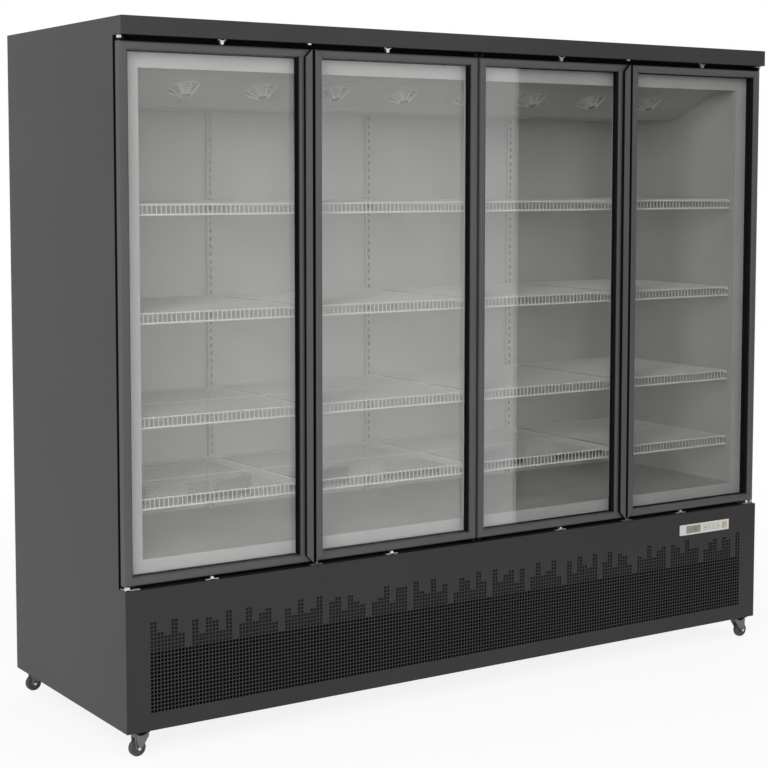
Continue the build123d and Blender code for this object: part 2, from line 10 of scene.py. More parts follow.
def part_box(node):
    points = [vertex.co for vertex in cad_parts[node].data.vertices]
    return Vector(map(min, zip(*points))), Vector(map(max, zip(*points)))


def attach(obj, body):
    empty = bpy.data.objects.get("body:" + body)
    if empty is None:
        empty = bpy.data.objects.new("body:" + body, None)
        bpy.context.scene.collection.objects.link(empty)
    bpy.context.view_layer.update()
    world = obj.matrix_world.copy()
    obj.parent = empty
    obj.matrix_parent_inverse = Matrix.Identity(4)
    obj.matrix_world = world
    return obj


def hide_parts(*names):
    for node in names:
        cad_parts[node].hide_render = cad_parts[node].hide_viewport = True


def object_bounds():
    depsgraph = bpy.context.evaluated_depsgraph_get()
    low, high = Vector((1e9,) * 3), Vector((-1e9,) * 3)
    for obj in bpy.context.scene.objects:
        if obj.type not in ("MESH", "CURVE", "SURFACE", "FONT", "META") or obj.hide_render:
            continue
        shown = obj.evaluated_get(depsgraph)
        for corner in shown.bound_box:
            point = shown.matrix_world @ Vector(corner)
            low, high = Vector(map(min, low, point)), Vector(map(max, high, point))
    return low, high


bl_info = {
    "name": "Display Freezer",
    "version": (1, 0, 0),
    "blender": (4, 5, 0),
    "location": "View3D > Sidebar > Freezer",
    "description": "Builds the finishes and fine pieces of a four-door display freezer on its frame",
    "category": "Add Mesh",
}

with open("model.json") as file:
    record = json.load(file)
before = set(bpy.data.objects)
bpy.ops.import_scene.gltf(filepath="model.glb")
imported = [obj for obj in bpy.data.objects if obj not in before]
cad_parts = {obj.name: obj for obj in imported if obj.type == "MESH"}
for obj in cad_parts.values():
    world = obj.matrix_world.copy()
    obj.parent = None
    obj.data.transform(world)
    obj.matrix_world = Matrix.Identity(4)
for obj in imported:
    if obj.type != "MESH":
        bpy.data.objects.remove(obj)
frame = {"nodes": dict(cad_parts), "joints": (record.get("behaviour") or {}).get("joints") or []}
cad_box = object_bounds()
joints = {joint["name"]: joint for joint in frame["joints"]}

DOORS = range(1, 5)
BUTTONS = range(1, 5)
FANS = range(1, 9)
BAY = (cad_box[1].x - cad_box[0].x) / len(DOORS)
LEVELS = ("top", "upper", "lower", "bottom")
CORNERS = ("front_left", "front_right", "rear_left", "rear_right")

# Points that are nearer than this count as one.
NEAR = 1e-5


def linear(code):
    """Linear RGBA of an sRGB hex colour."""
    parts = [int(code[i:i + 2], 16) / 255 for i in (1, 3, 5)]
    return [c / 12.92 if c <= 0.04045 else ((c + 0.055) / 1.055) ** 2.4 for c in parts] + [1.0]


def length(name, description, default):
    """Property for a length in metres."""
    return FloatProperty(name=name, description=description, default=default, unit="LENGTH", precision=4)


def colour(name, description, code):
    """Property for a paint or plastic colour."""
    return FloatVectorProperty(
        name=name, description=description, default=linear(code), subtype="COLOR", size=4)


class FreezerSizes(bpy.types.PropertyGroup):
    """Sizes of the fine pieces that the frame holds only in outline."""

    hole_pitch: length("Hole pitch", "Distance between the columns of holes in the plinth", 0.0111)
    hole_rise: length("Hole rise", "Distance between the rows of holes in the plinth", 0.0111)
    hole_web: length("Hole web", "Half of the metal between two holes", 0.0014)
    full_rows: IntProperty(name="Full rows", description="Rows of holes that run the whole width", default=16)
    most_steps: IntProperty(name="Most steps", description="Rows in the tallest stepped column", default=8)
    sheet: length("Sheet", "Thickness of the folded sheet metal", 0.002)
    deck_spacing: length("Deck spacing", "Distance between the wires of a shelf", 0.0148)
    deck_wire: length("Deck wire", "Radius of the wires of a shelf", 0.0013)
    rail_wire: length("Rail wire", "Radius of the rods that edge a shelf", 0.0024)
    guard_wire: length("Guard wire", "Radius of the wires of a fan guard", 0.0017)
    guard_rings: IntProperty(name="Guard rings", description="Rings in each fan guard", default=7)
    slot_pitch: length("Slot pitch", "Distance between the slots of a shelf upright", 0.025)
    frame_round: length("Frame rounding", "Radius of the front edges of a door frame", 0.008)
    edge_round: length("Edge rounding", "Radius of the edges of folded sheet", 0.0008)


class FreezerColours(bpy.types.PropertyGroup):
    """Colours of the finishes."""

    # The side panels, header and plinth share one paint; their three colours are painted light and shade, the
    # side lightest and the plinth darkest.
    side: colour("Side paint", "Powder coat of the side panels", "#2f2f2f")
    header: colour("Header paint", "Powder coat of the header", "#2a2a2a")
    plinth: colour("Plinth paint", "Powder coat of the plinth", "#242424")
    door: colour("Door paint", "Powder coat of the door frames", "#434343")
    liner: colour("Liner enamel", "Enamel of the inside and the front frame", "#cacac8")
    wire: colour("Shelf coating", "Plastic coating of the wire shelves", "#eeeeea")
    zinc: colour("Zinc", "Bright plating of the hinges and keepers", "#dcdcda")


def add(tree, kind, inputs=None, stops=(), **settings):
    """Adds a node; inputs are plain values, or sockets to link from, and stops the places and colours of a
    ramp."""
    node = tree.nodes.new(kind)
    for name, value in settings.items():
        setattr(node, name, value)
    for i, (place, rgba) in enumerate(stops):
        node.color_ramp.elements[i].position = place
        node.color_ramp.elements[i].color = rgba
    for name, value in (inputs or {}).items():
        if isinstance(value, bpy.types.NodeSocket):
            tree.links.new(value, node.inputs[name])
        else:
            node.inputs[name].default_value = value
    return node


def blank(name):
    """New material, its cleared tree and its Object coordinates."""
    material = bpy.data.materials.new(name)
    material.use_nodes = True
    tree = material.node_tree
    tree.nodes.clear()
    return material, tree, add(tree, "ShaderNodeTexCoord").outputs["Object"]


def shade(rgba, share):
    """Colour made lighter or darker by a share."""
    return [min(1.0, c * share) for c in rgba[:3]] + [1.0]


def powder_coat(name, rgba, roughness, peel_mm=3.0, shine=0.3):
    """Powder-coated or painted metal, sprayed and baked: an even satin skin, with a faint orange peel
    drawn coarse enough to show and a slow drift of tone over half a metre."""
    material, tree, where = blank(name)
    drift = add(tree, "ShaderNodeTexNoise", {"Vector": where, "Scale": 1000 / 455, "Detail": 2.0})
    peel = add(tree, "ShaderNodeTexNoise", {"Vector": where, "Scale": 1000 / peel_mm, "Detail": 1.0})
    gloss = add(tree, "ShaderNodeMapRange", {
        "Value": peel.outputs["Fac"], "To Min": roughness - 0.05, "To Max": roughness + 0.07})
    bump = add(tree, "ShaderNodeBump", {
        "Height": peel.outputs["Fac"], "Strength": 0.06, "Distance": 0.0005})
    tone = add(tree, "ShaderNodeValToRGB", {"Fac": drift.outputs["Fac"]},
               stops=((0.3, shade(rgba, 0.93)), (0.7, shade(rgba, 1.07))))
    skin = add(tree, "ShaderNodeBsdfPrincipled", {
        "Base Color": tone.outputs["Color"], "Roughness": gloss.outputs["Result"],
        "Normal": bump.outputs["Normal"], "IOR": 1.5, "Specular IOR Level": shine})
    add(tree, "ShaderNodeOutputMaterial", {"Surface": skin.outputs["BSDF"]})
    return material


def enamel(name, rgba):
    """Stoved enamel on the liner: smooth and pale, with clouds of about 200 mm left by cleaning."""
    material, tree, where = blank(name)
    cloud = add(tree, "ShaderNodeTexNoise", {"Vector": where, "Scale": 1000 / 200, "Detail": 4.0})
    gloss = add(tree, "ShaderNodeMapRange", {"Value": cloud.outputs["Fac"], "To Min": 0.3, "To Max": 0.48})
    tone = add(tree, "ShaderNodeValToRGB", {"Fac": cloud.outputs["Fac"]},
               stops=((0.3, shade(rgba, 0.95)), (0.7, shade(rgba, 1.04))))
    skin = add(tree, "ShaderNodeBsdfPrincipled", {
        "Base Color": tone.outputs["Color"], "Roughness": gloss.outputs["Result"], "IOR": 1.5})
    add(tree, "ShaderNodeOutputMaterial", {"Surface": skin.outputs["BSDF"]})
    return material


def galvanised(name):
    """Hot-dip galvanised sheet: a grey metal skin broken into crystal spangles of about 14 mm."""
    material, tree, where = blank(name)
    spangle = add(tree, "ShaderNodeTexVoronoi", {"Vector": where, "Scale": 1000 / 14})
    chance = add(tree, "ShaderNodeSeparateColor", {"Color": spangle.outputs["Color"]})
    gloss = add(tree, "ShaderNodeMapRange", {
        "Value": chance.outputs["Green"], "To Min": 0.36, "To Max": 0.52})
    tone = add(tree, "ShaderNodeValToRGB", {"Fac": chance.outputs["Red"]},
               stops=((0.0, linear("#9a9da0")), (1.0, linear("#a6a9ac"))))
    skin = add(tree, "ShaderNodeBsdfPrincipled", {
        "Base Color": tone.outputs["Color"], "Roughness": gloss.outputs["Result"], "Metallic": 0.85})
    add(tree, "ShaderNodeOutputMaterial", {"Surface": skin.outputs["BSDF"]})
    return material


def bright_zinc(name, rgba):
    """Zinc-plated and buffed steel: bright, with lines drawn along its length, about 1 mm apart so that
    they show."""
    material, tree, where = blank(name)
    drawn = add(tree, "ShaderNodeMapping", {
        "Vector": where, "Scale": (1000 / 16, 1000 / 1.1, 1000 / 1.1)})
    lines = add(tree, "ShaderNodeTexNoise", {
        "Vector": drawn.outputs["Vector"], "Scale": 1.0, "Detail": 2.0})
    gloss = add(tree, "ShaderNodeMapRange", {"Value": lines.outputs["Fac"], "To Min": 0.2, "To Max": 0.38})
    tone = add(tree, "ShaderNodeValToRGB", {"Fac": lines.outputs["Fac"]},
               stops=((0.3, shade(rgba, 0.92)), (0.7, rgba)))
    skin = add(tree, "ShaderNodeBsdfPrincipled", {
        "Base Color": tone.outputs["Color"], "Roughness": gloss.outputs["Result"], "Metallic": 0.9})
    add(tree, "ShaderNodeOutputMaterial", {"Surface": skin.outputs["BSDF"]})
    return material


def moulded(name, rgba, roughness, grain_mm=1.2, shine=0.5):
    """Moulded plastic, rubber or foam: one tone with a fine matt grain, drawn coarse enough to show."""
    material, tree, where = blank(name)
    grain = add(tree, "ShaderNodeTexNoise", {"Vector": where, "Scale": 1000 / grain_mm, "Detail": 2.0})
    gloss = add(tree, "ShaderNodeMapRange", {
        "Value": grain.outputs["Fac"], "To Min": roughness - 0.06, "To Max": roughness + 0.06})
    bump = add(tree, "ShaderNodeBump", {"Height": grain.outputs["Fac"], "Strength": 0.08, "Distance": 0.0003})
    tone = add(tree, "ShaderNodeValToRGB", {"Fac": grain.outputs["Fac"]},
               stops=((0.3, shade(rgba, 0.95)), (0.7, shade(rgba, 1.05))))
    skin = add(tree, "ShaderNodeBsdfPrincipled", {
        "Base Color": tone.outputs["Color"], "Roughness": gloss.outputs["Result"],
        "Normal": bump.outputs["Normal"], "IOR": 1.48, "Specular IOR Level": shine})
    add(tree, "ShaderNodeOutputMaterial", {"Surface": skin.outputs["BSDF"]})
    return material


def finned(name):
    """Aluminium fin stock on a coil: upright plates about 2 mm apart, drawn at 6 mm so that they show, dark
    between the plates as painted shade and light on them. A wave of scale 1 turns through 20 radians in a
    metre."""
    material, tree, where = blank(name)
    fins = add(tree, "ShaderNodeTexWave", {"Vector": where, "Scale": math.tau * 1000 / 6 / 20},
               wave_type="BANDS", bands_direction="X")
    bump = add(tree, "ShaderNodeBump", {"Height": fins.outputs["Fac"], "Strength": 0.6, "Distance": 0.002})
    # Dark bands are painted shade between the plates; the light bands are the plates themselves.
    tone = add(tree, "ShaderNodeValToRGB", {"Fac": fins.outputs["Fac"]},
               stops=((0.3, linear("#4c4f52")), (0.7, linear("#b9bcbf"))))
    skin = add(tree, "ShaderNodeBsdfPrincipled", {
        "Base Color": tone.outputs["Color"], "Roughness": 0.42, "Metallic": 0.9,
        "Normal": bump.outputs["Normal"]})
    add(tree, "ShaderNodeOutputMaterial", {"Surface": skin.outputs["BSDF"]})
    return material


def float_glass(name):
    """Float glass: clear and mirror-smooth, so that it veils the inside with what it mirrors; lamps shine
    straight through it."""
    material, tree, _ = blank(name)
    tint = linear("#f7f7f7")
    glass = add(tree, "ShaderNodeBsdfPrincipled", {
        "Base Color": tint, "Roughness": 0.0, "IOR": 1.5, "Transmission Weight": 1.0})
    clear = add(tree, "ShaderNodeBsdfTransparent", {"Color": tint})
    path = add(tree, "ShaderNodeLightPath")
    pane = add(tree, "ShaderNodeMixShader", {
        0: path.outputs["Is Shadow Ray"], 1: glass.outputs["BSDF"], 2: clear.outputs["BSDF"]})
    add(tree, "ShaderNodeOutputMaterial", {"Surface": pane.outputs["Shader"]})
    return material


def glowing(name, rgba, strength):
    """Lit plastic lens: a coloured moulding of 1.4 mm prisms with its lamp behind it."""
    material, tree, where = blank(name)
    prism = add(tree, "ShaderNodeTexVoronoi", {"Vector": where, "Scale": 1000 / 1.4})
    tone = add(tree, "ShaderNodeValToRGB", {"Fac": prism.outputs["Distance"]},
               stops=((0.0, shade(rgba, 0.8)), (0.8, rgba)))
    skin = add(tree, "ShaderNodeBsdfPrincipled", {
        "Base Color": tone.outputs["Color"], "Roughness": 0.2, "IOR": 1.49,
        "Emission Color": rgba, "Emission Strength": strength})
    add(tree, "ShaderNodeOutputMaterial", {"Surface": skin.outputs["BSDF"]})
    return material


MATERIALS = {}


def make_materials(colours):
    """Makes every finish once, under a short key."""
    MATERIALS.update({
        # One paint in three colours of painted light and shade: side lightest, plinth darkest.
        "side": powder_coat("Powder-coated steel side", colours.side, 0.46),
        "header": powder_coat("Powder-coated steel header", colours.header, 0.46),
        "plinth": powder_coat("Powder-coated steel plinth", colours.plinth, 0.46),
        "door": powder_coat("Powder-coated aluminium door", colours.door, 0.4, 2.0),
        "liner": enamel("Stoved enamel liner", colours.liner),
        "wire": moulded("Plastic-coated shelf wire", colours.wire, 0.34),
        "guard": moulded("Plastic-coated guard wire", linear("#f0f0ec"), 0.35),
        "zinc": bright_zinc("Bright zinc steel", colours.zinc),
        "galvanised": galvanised("Galvanised sheet"),
        "fork": powder_coat("Black-painted castor steel", linear("#5c5c5c"), 0.4, 2.0),
        "rubber": moulded("Moulded wheel rubber", linear("#3c3c3c"), 0.62),
        # Black gasket rubber of the seals; it also colours the painted shade in the door reveals and under
        # the pulls.
        "gasket": moulded("Extruded gasket rubber", linear("#111111"), 0.66, shine=0.12),
        "glass": float_glass("Clear float glass"),
        "fins": finned("Aluminium coil fins"),
        "foam": moulded("Rigid urethane foam", linear("#d9cd9e"), 0.85, 4.0),
        "shell": powder_coat("Black compressor enamel", linear("#1b1b1c"), 0.3, 2.0),
        "fan": moulded("Moulded fan polypropylene", linear("#a3a4a2"), 0.45),
        "panel": moulded("Moulded bezel ABS", linear("#b4b4ae"), 0.42),
        "display": moulded("Tinted display acrylic", linear("#777872"), 0.2),
        "digits": moulded("Moulded display segments", linear("#4b4c49"), 0.3),
        "button": moulded("Moulded button ABS", linear("#abaca7"), 0.45),
        "mark": moulded("Moulded button marks", linear("#6e706e"), 0.5),
        "lens": glowing("Tinted acrylic lens", linear("#a4938a"), 0.03),
        # Near-black base steel: painted shade seen through the plinth holes.
        "dark": powder_coat("Black-painted base steel", linear("#1e1e1e"), 0.6),
        # Near-black sheet behind the plinth holes: painted shade.
        "mat": moulded("Black foam filter mat", linear("#030303"), 0.9, 3.0, shine=0.0),
        # Near-black: painted shade in the front frame's land; the castor plates and swivel heads take it too.
        "land": powder_coat("Black-painted steel land", linear("#090909"), 0.6, shine=0.08),
        "backing": powder_coat("Black-painted backing steel", linear("#131313"), 0.6, shine=0.15),
        # Near-black hinge steel: zinc hinges darkened as painted shade.
        "bracket": powder_coat("Dark-painted hinge steel", linear("#0d0d0d"), 0.5, 2.0, shine=0.06),
    })


def dress(node, key):
    """Gives a CAD node its finish."""
    mesh = frame["nodes"][node].data
    mesh.materials.clear()
    mesh.materials.append(MATERIALS[key])


def piece(name, bm, body, key, slot, *replaced, smooth=None):
    """Finished piece of a bmesh, riding on a body and standing for CAD nodes."""
    mesh = bpy.data.meshes.new(name)
    bm.to_mesh(mesh)
    bm.free()
    mesh.materials.append(MATERIALS[key])
    if smooth is not None:
        mesh.shade_smooth()
        mesh.set_sharp_from_angle(angle=math.radians(smooth))
    obj = bpy.data.objects.new(name, mesh)
    bpy.context.scene.collection.objects.link(obj)
    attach(obj, body)
    if replaced:
        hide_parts(*replaced)
    return obj


def between(start, end, share):
    """Value at a share of the way from start to end."""
    return start + (end - start) * share


def block(bm, low, high):
    """Box between two corners; returns its vertices."""
    low, high = Vector(low), Vector(high)
    size = Matrix.Diagonal((*(high - low), 1.0))
    return bmesh.ops.create_cube(bm, size=1.0, matrix=Matrix.Translation((low + high) / 2) @ size)["verts"]


def rod(bm, start, end, radius, sides=8):
    """Round bar between two points."""
    start, end = Vector(start), Vector(end)
    way = end - start
    turn = way.to_track_quat("Z", "Y").to_matrix().to_4x4()
    bmesh.ops.create_cone(bm, cap_ends=True, segments=sides, radius1=radius, radius2=radius,
                          depth=way.length, matrix=Matrix.Translation((start + end) / 2) @ turn)


def ring(bm, place, radius, wire, steps=40, sides=6):
    """Wire ring about Z of a place."""
    section = Matrix.Translation((radius, 0, 0)) @ Matrix.Rotation(math.radians(90), 4, "X")
    made = bmesh.ops.create_circle(bm, segments=sides, radius=wire, matrix=place @ section)
    edges = list(dict.fromkeys(e for v in made["verts"] for e in v.link_edges))
    bmesh.ops.spin(bm, geom=edges, cent=place.translation, axis=place.to_3x3() @ Vector((0, 0, 1)),
                   angle=math.tau, steps=steps, use_merge=True)


def turned(bm, profile, centre, axis, steps=48):
    """Solid of revolution: a profile of (along the axis, radius) points turned about the axis."""
    axis = Vector(axis).normalized()
    away = axis.orthogonal().normalized()
    points = [bm.verts.new(Vector(centre) + axis * along + away * radius) for along, radius in profile]
    edges = [bm.edges.new(pair) for pair in zip(points, points[1:])]
    if profile[0][1] > 0:
        edges.append(bm.edges.new((points[-1], points[0])))
    bmesh.ops.spin(bm, geom=edges, cent=centre, axis=axis, angle=math.tau, steps=steps, use_merge=True)


def close_turned(bm):
    """Joins the seams and poles of turned pieces and points their faces outwards."""
    bmesh.ops.remove_doubles(bm, verts=bm.verts, dist=NEAR)
    bmesh.ops.recalc_face_normals(bm, faces=bm.faces)


def round_edges(bm, edges, radius, segments=3):
    """Rounds the given edges."""
    bmesh.ops.bevel(bm, geom=edges, offset=radius, offset_type="OFFSET", affect="EDGES", segments=segments,
                    profile=0.5, material=-1, clamp_overlap=True)


def sharp_edges(bm, least=35):
    """Edges where two faces meet at more than an angle in degrees."""
    return [e for e in bm.edges if len(e.link_faces) == 2 and e.calc_face_angle() > math.radians(least)]


def copied(node):
    """Copy of a CAD node's mesh, its triangles joined into whole faces."""
    bm = bmesh.new()
    bm.from_mesh(frame["nodes"][node].data)
    bmesh.ops.remove_doubles(bm, verts=bm.verts, dist=NEAR)
    bmesh.ops.dissolve_limit(bm, angle_limit=math.radians(1), verts=bm.verts, edges=bm.edges)
    return bm


def softened(node, body, key, slot, radius, segments=2):
    """Copy of a one-solid CAD node with its edges rounded, standing for it."""
    bm = copied(node)
    round_edges(bm, sharp_edges(bm), radius, segments)
    return piece(f"{node}_finish", bm, body, key, slot, node)


def upright_sheet(xs, zs, y):
    """Sheet of cells between columns xs and rows zs that faces -Y, and each face's column and row."""
    bm = bmesh.new()
    across, up = len(xs) - 1, len(zs) - 1
    turn = Matrix.Rotation(math.radians(90), 4, "X")
    bmesh.ops.create_grid(bm, x_segments=across, y_segments=up, size=0.5, matrix=turn)
    cells = {}
    for face in bm.faces:
        middle = face.calc_center_median()
        cells[face] = int((middle.x + 0.5) * across), int((middle.z + 0.5) * up)
    for v in bm.verts:
        i, j = round((v.co.x + 0.5) * across), round((v.co.z + 0.5) * up)
        v.co = xs[i], y, zs[j]
    return bm, cells


def thicken(obj, sheet):
    """Gives a single skin its sheet thickness, away from its face."""
    solid = obj.modifiers.new("Sheet", "SOLIDIFY")
    solid.thickness, solid.offset = sheet, -1.0


class FREEZER_OT_cabinet(bpy.types.Operator):
    """Finishes the outer panels, the inside and the machine space"""

    bl_idname = "freezer.cabinet"
    bl_label = "Cabinet"

    slot_count = 6
    slot_pitch = 0.390
    slot_width = 0.240
    slot_rise = 0.090
    slot_height = 0.060
    blades = 5
    blade_depth = 0.013
    blade_sheet = 0.0008
    blade_tilt = 38
    back_sheet = 0.0008
    seams = (-0.390, 0.390)
    seam_width = 0.036
    seam_sheet = 0.0005
    screw_inset = 0.018
    back_rows = 8
    roof_rows = 4
    roof_round = 0.0002
    screw_proud = 0.0012
    screw_head = 0.0055
    screw_top = 0.003
    land = 0.028
    band_lap = 0.010
    band_setback = 0.006
    mullion_half = 0.020
    shade_strip_half = 0.012

    def execute(self, context):
        sizes = context.scene.freezer_sizes
        for node, key, slot in (
            ("left_side_panel", "side", "side_paint"),
            ("right_side_panel", "side", "side_paint"),
            ("header_fascia", "header", "dark_paint"),
            ("door_sill", "plinth", "dark_paint"),
        ):
            softened(node, "cabinet", key, slot, sizes.edge_round)
        self.roof()
        self.back()
        self.front_frame()
        for node in ("inner_liner", "air_duct_panel", "fan_canopy"):
            dress(node, "liner")
        dress("shelf_brackets", "wire")
        dress("insulation", "foam")
        # The base frame is darkened as painted shade, so that it shows dark through the plinth holes.
        dress("base_frame", "dark")
        dress("evaporator_coil", "fins")
        dress("condenser_coil", "fins")
        dress("compressor", "shell")
        return {"FINISHED"}

    def back(self):
        """Back sheet with its row of louvred air slots, and the screwed strips over its seams."""
        low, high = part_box("back_panel")
        centres = [(k - (self.slot_count - 1) / 2) * self.slot_pitch for k in range(self.slot_count)]
        xs = [low.x, *(x + way * self.slot_width / 2 for x in centres for way in (-1, 1)), high.x]
        zs = [low.z, low.z + self.slot_rise, low.z + self.slot_rise + self.slot_height, high.z]
        bm, cells = upright_sheet(xs, zs, low.y)
        slots = [face for face, (i, j) in cells.items() if j == 1 and i % 2 == 1]
        bmesh.ops.delete(bm, geom=slots, context="FACES")
        thicken(piece("back_panel_finish", bm, "cabinet", "galvanised", "galvanised_sheet", "back_panel"),
                self.back_sheet)
        self.louvres(centres, zs[1], low.y)
        place = Matrix.Translation((0, low.y + self.back_sheet, (low.z + high.z) / 2))
        upright = Matrix.Rotation(math.radians(-90), 4, "X")
        self.seam_strips("back", low.x, high.x, high.z - low.z, self.back_rows, place @ upright)

    def roof(self):
        """Roof sheet, with the screwed strips over its seams."""
        low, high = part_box("roof_panel")
        top = high.z - self.screw_proud
        bm = bmesh.new()
        block(bm, low, (high.x, high.y, top))
        round_edges(bm, bm.edges[:], self.roof_round, 1)
        piece("roof_panel_finish", bm, "cabinet", "galvanised", "galvanised_sheet", "roof_panel")
        place = Matrix.Translation((0, (low.y + high.y) / 2, top))
        self.seam_strips("roof", low.x, high.x, high.y - low.y, self.roof_rows, place)

    def louvres(self, centres, bottom, y):
        """Tilted blades in the air slots, their outer edges low."""
        bm = bmesh.new()
        turn = Matrix.Rotation(math.radians(-self.blade_tilt), 3, "X")
        half = Vector((self.slot_width, self.blade_depth, self.blade_sheet)) / 2
        for x in centres:
            for k in range(self.blades):
                middle = Vector((x, y - half.y, bottom + (k + 0.5) / self.blades * self.slot_height))
                verts = block(bm, middle - half, middle + half)
                bmesh.ops.rotate(bm, verts=verts, cent=middle, matrix=turn)
        piece("back_louvres", bm, "cabinet", "galvanised", "galvanised_sheet")

    def seam_strips(self, name, left, right, run, rows, place):
        """Cover strips over the seams of a sheet, and the screws along them and along its ends."""
        strips, screws = bmesh.new(), bmesh.new()
        half = self.seam_width / 2
        for x in self.seams:
            block(strips, (x - half, -run / 2, 0), (x + half, run / 2, self.seam_sheet))
        step = (run - 2 * self.screw_inset) / (rows - 1)
        for x in (left + self.screw_inset, *self.seams, right - self.screw_inset):
            for k in range(rows):
                spot = Matrix.Translation((x, self.screw_inset + k * step - run / 2, self.screw_proud / 2))
                bmesh.ops.create_cone(screws, cap_ends=True, segments=16, radius1=self.screw_head,
                                      radius2=self.screw_top, depth=self.screw_proud, matrix=spot)
        for bm in (strips, screws):
            bmesh.ops.transform(bm, matrix=place, verts=bm.verts)
        piece(f"{name}_seam_strips", strips, "cabinet", "galvanised", "galvanised_sheet")
        piece(f"{name}_screws", screws, "cabinet", "zinc", "zinc_steel")

    def front_frame(self):
        """Black land behind the gaskets and black strips down the mullions, painted shade for the gaps around
        and between the doors; and the pale band and mullions inside it.
        """
        low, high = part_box("front_frame")
        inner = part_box("inner_liner")[1].x - self.band_lap
        floor, lintel = (corner.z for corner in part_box("shelf_uprights"))
        step_x, step_low, step_high = high.x - self.land, low.z + self.land, high.z - self.land
        band = low.y + self.band_setback
        dark, pale = bmesh.new(), bmesh.new()
        for way in (-1, 1):
            x0, x1 = sorted((way * high.x, way * step_x))
            block(dark, (x0, low.y, low.z), (x1, high.y, high.z))
            x0, x1 = sorted((way * step_x, way * inner))
            block(pale, (x0, band, step_low), (x1, high.y, step_high))
        for z0, z1, z2 in ((low.z, step_low, floor), (high.z, step_high, lintel)):
            block(dark, (-step_x, low.y, min(z0, z1)), (step_x, high.y, max(z0, z1)))
            block(pale, (-inner, band, min(z1, z2)), (inner, high.y, max(z1, z2)))
        for k in (-1, 0, 1):
            x = k * BAY
            # Black strip down the middle of each mullion: painted shade in the gap between two doors.
            block(dark, (x - self.shade_strip_half, low.y, floor), (x + self.shade_strip_half, high.y, lintel))
            for way in (-1, 1):
                x0, x1 = sorted((x + way * self.shade_strip_half, x + way * self.mullion_half))
                block(pale, (x0, low.y, floor), (x1, high.y, lintel))
        piece("front_frame_band", pale, "cabinet", "liner", "liner_paint", "front_frame")
        piece("front_frame_land", dark, "cabinet", "land", "liner_paint")


class FREEZER_OT_plinth(bpy.types.Operator):
    """Perforates the plinth panel, with full rows below and stepped columns above"""

    bl_idname = "freezer.plinth"
    bl_label = "Plinth grille"

    side_margin = 0.070
    bottom_margin = 0.050
    bezel_rim = 0.006
    group = 2
    # Waves along the stepped columns: the first leaves some bare, the second varies their height.
    bare_wave = 0.9
    bare_below = -0.8
    height_wave = 2.3
    height_start = 1.0
    mean_height = 0.7
    height_swing = 0.3
    panel_sheet = 0.0012
    backing_gap = 0.0006
    backing_lap = 0.015

    def execute(self, context):
        sizes = context.scene.freezer_sizes
        low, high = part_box("plinth_panel")
        pairs = int((high.x - low.x - 2 * self.side_margin) / sizes.hole_pitch / self.group)
        columns = pairs * self.group
        rows = sizes.full_rows + sizes.most_steps
        left = -columns / 2 * sizes.hole_pitch
        bottom = low.z + self.bottom_margin
        bezel_low, bezel_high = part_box("controller_housing")
        cut_low, cut_high = bezel_low.z + self.bezel_rim, bezel_high.z - self.bezel_rim
        xs = [low.x, *(left + i * sizes.hole_pitch for i in range(columns + 1)), high.x]
        zs = [low.z, *(bottom + j * sizes.hole_rise for j in range(rows + 1)), cut_low, cut_high, high.z]
        bm, cells = upright_sheet(xs, zs, low.y)
        holes, cut_out = [], []
        for face, (i, j) in cells.items():
            x = face.calc_center_median().x
            if 1 <= i <= columns and 1 <= j <= sizes.full_rows + self.steps(i - 1, sizes.most_steps):
                holes.append(face)
            elif j == rows + 2 and bezel_low.x + sizes.hole_pitch < x < bezel_high.x - sizes.hole_pitch:
                cut_out.append(face)
        bmesh.ops.inset_individual(bm, faces=holes, thickness=sizes.hole_web, use_even_offset=True)
        bmesh.ops.delete(bm, geom=holes + cut_out, context="FACES")
        thicken(piece("plinth_panel_finish", bm, "cabinet", "plinth", "dark_paint", "plinth_panel"),
                self.panel_sheet)
        edge = bottom + sizes.full_rows * sizes.hole_rise
        # The sheets behind the holes are painted shade: near-black below the full rows, dark grey behind the
        # stepped columns.
        self.backing("plinth_filter", "mat", low, left, bottom - self.backing_lap, edge, sizes)
        self.backing("plinth_backing", "backing", low, left, edge, zs[rows + 1], sizes)
        return {"FINISHED"}

    def steps(self, i, most):
        """Rows of holes over the full ones in column i; columns stand in pairs, of varied height or bare."""
        k = i // self.group
        if math.sin(self.bare_wave * k) < self.bare_below:
            return 0
        wave = math.sin(self.height_wave * k + self.height_start)
        return round(most * (self.mean_height + self.height_swing * wave))

    def backing(self, name, key, low, left, z0, z1, sizes):
        """Dark sheet close behind some rows of holes: painted shade for the dark machine space behind them.
        """
        front = low.y + self.panel_sheet + self.backing_gap
        reach = self.backing_lap - left
        bm = bmesh.new()
        block(bm, (-reach, front, z0), (reach, front + sizes.sheet, z1))
        round_edges(bm, bm.edges[:], sizes.edge_round, 1)
        piece(name, bm, "cabinet", key, "dark_paint")


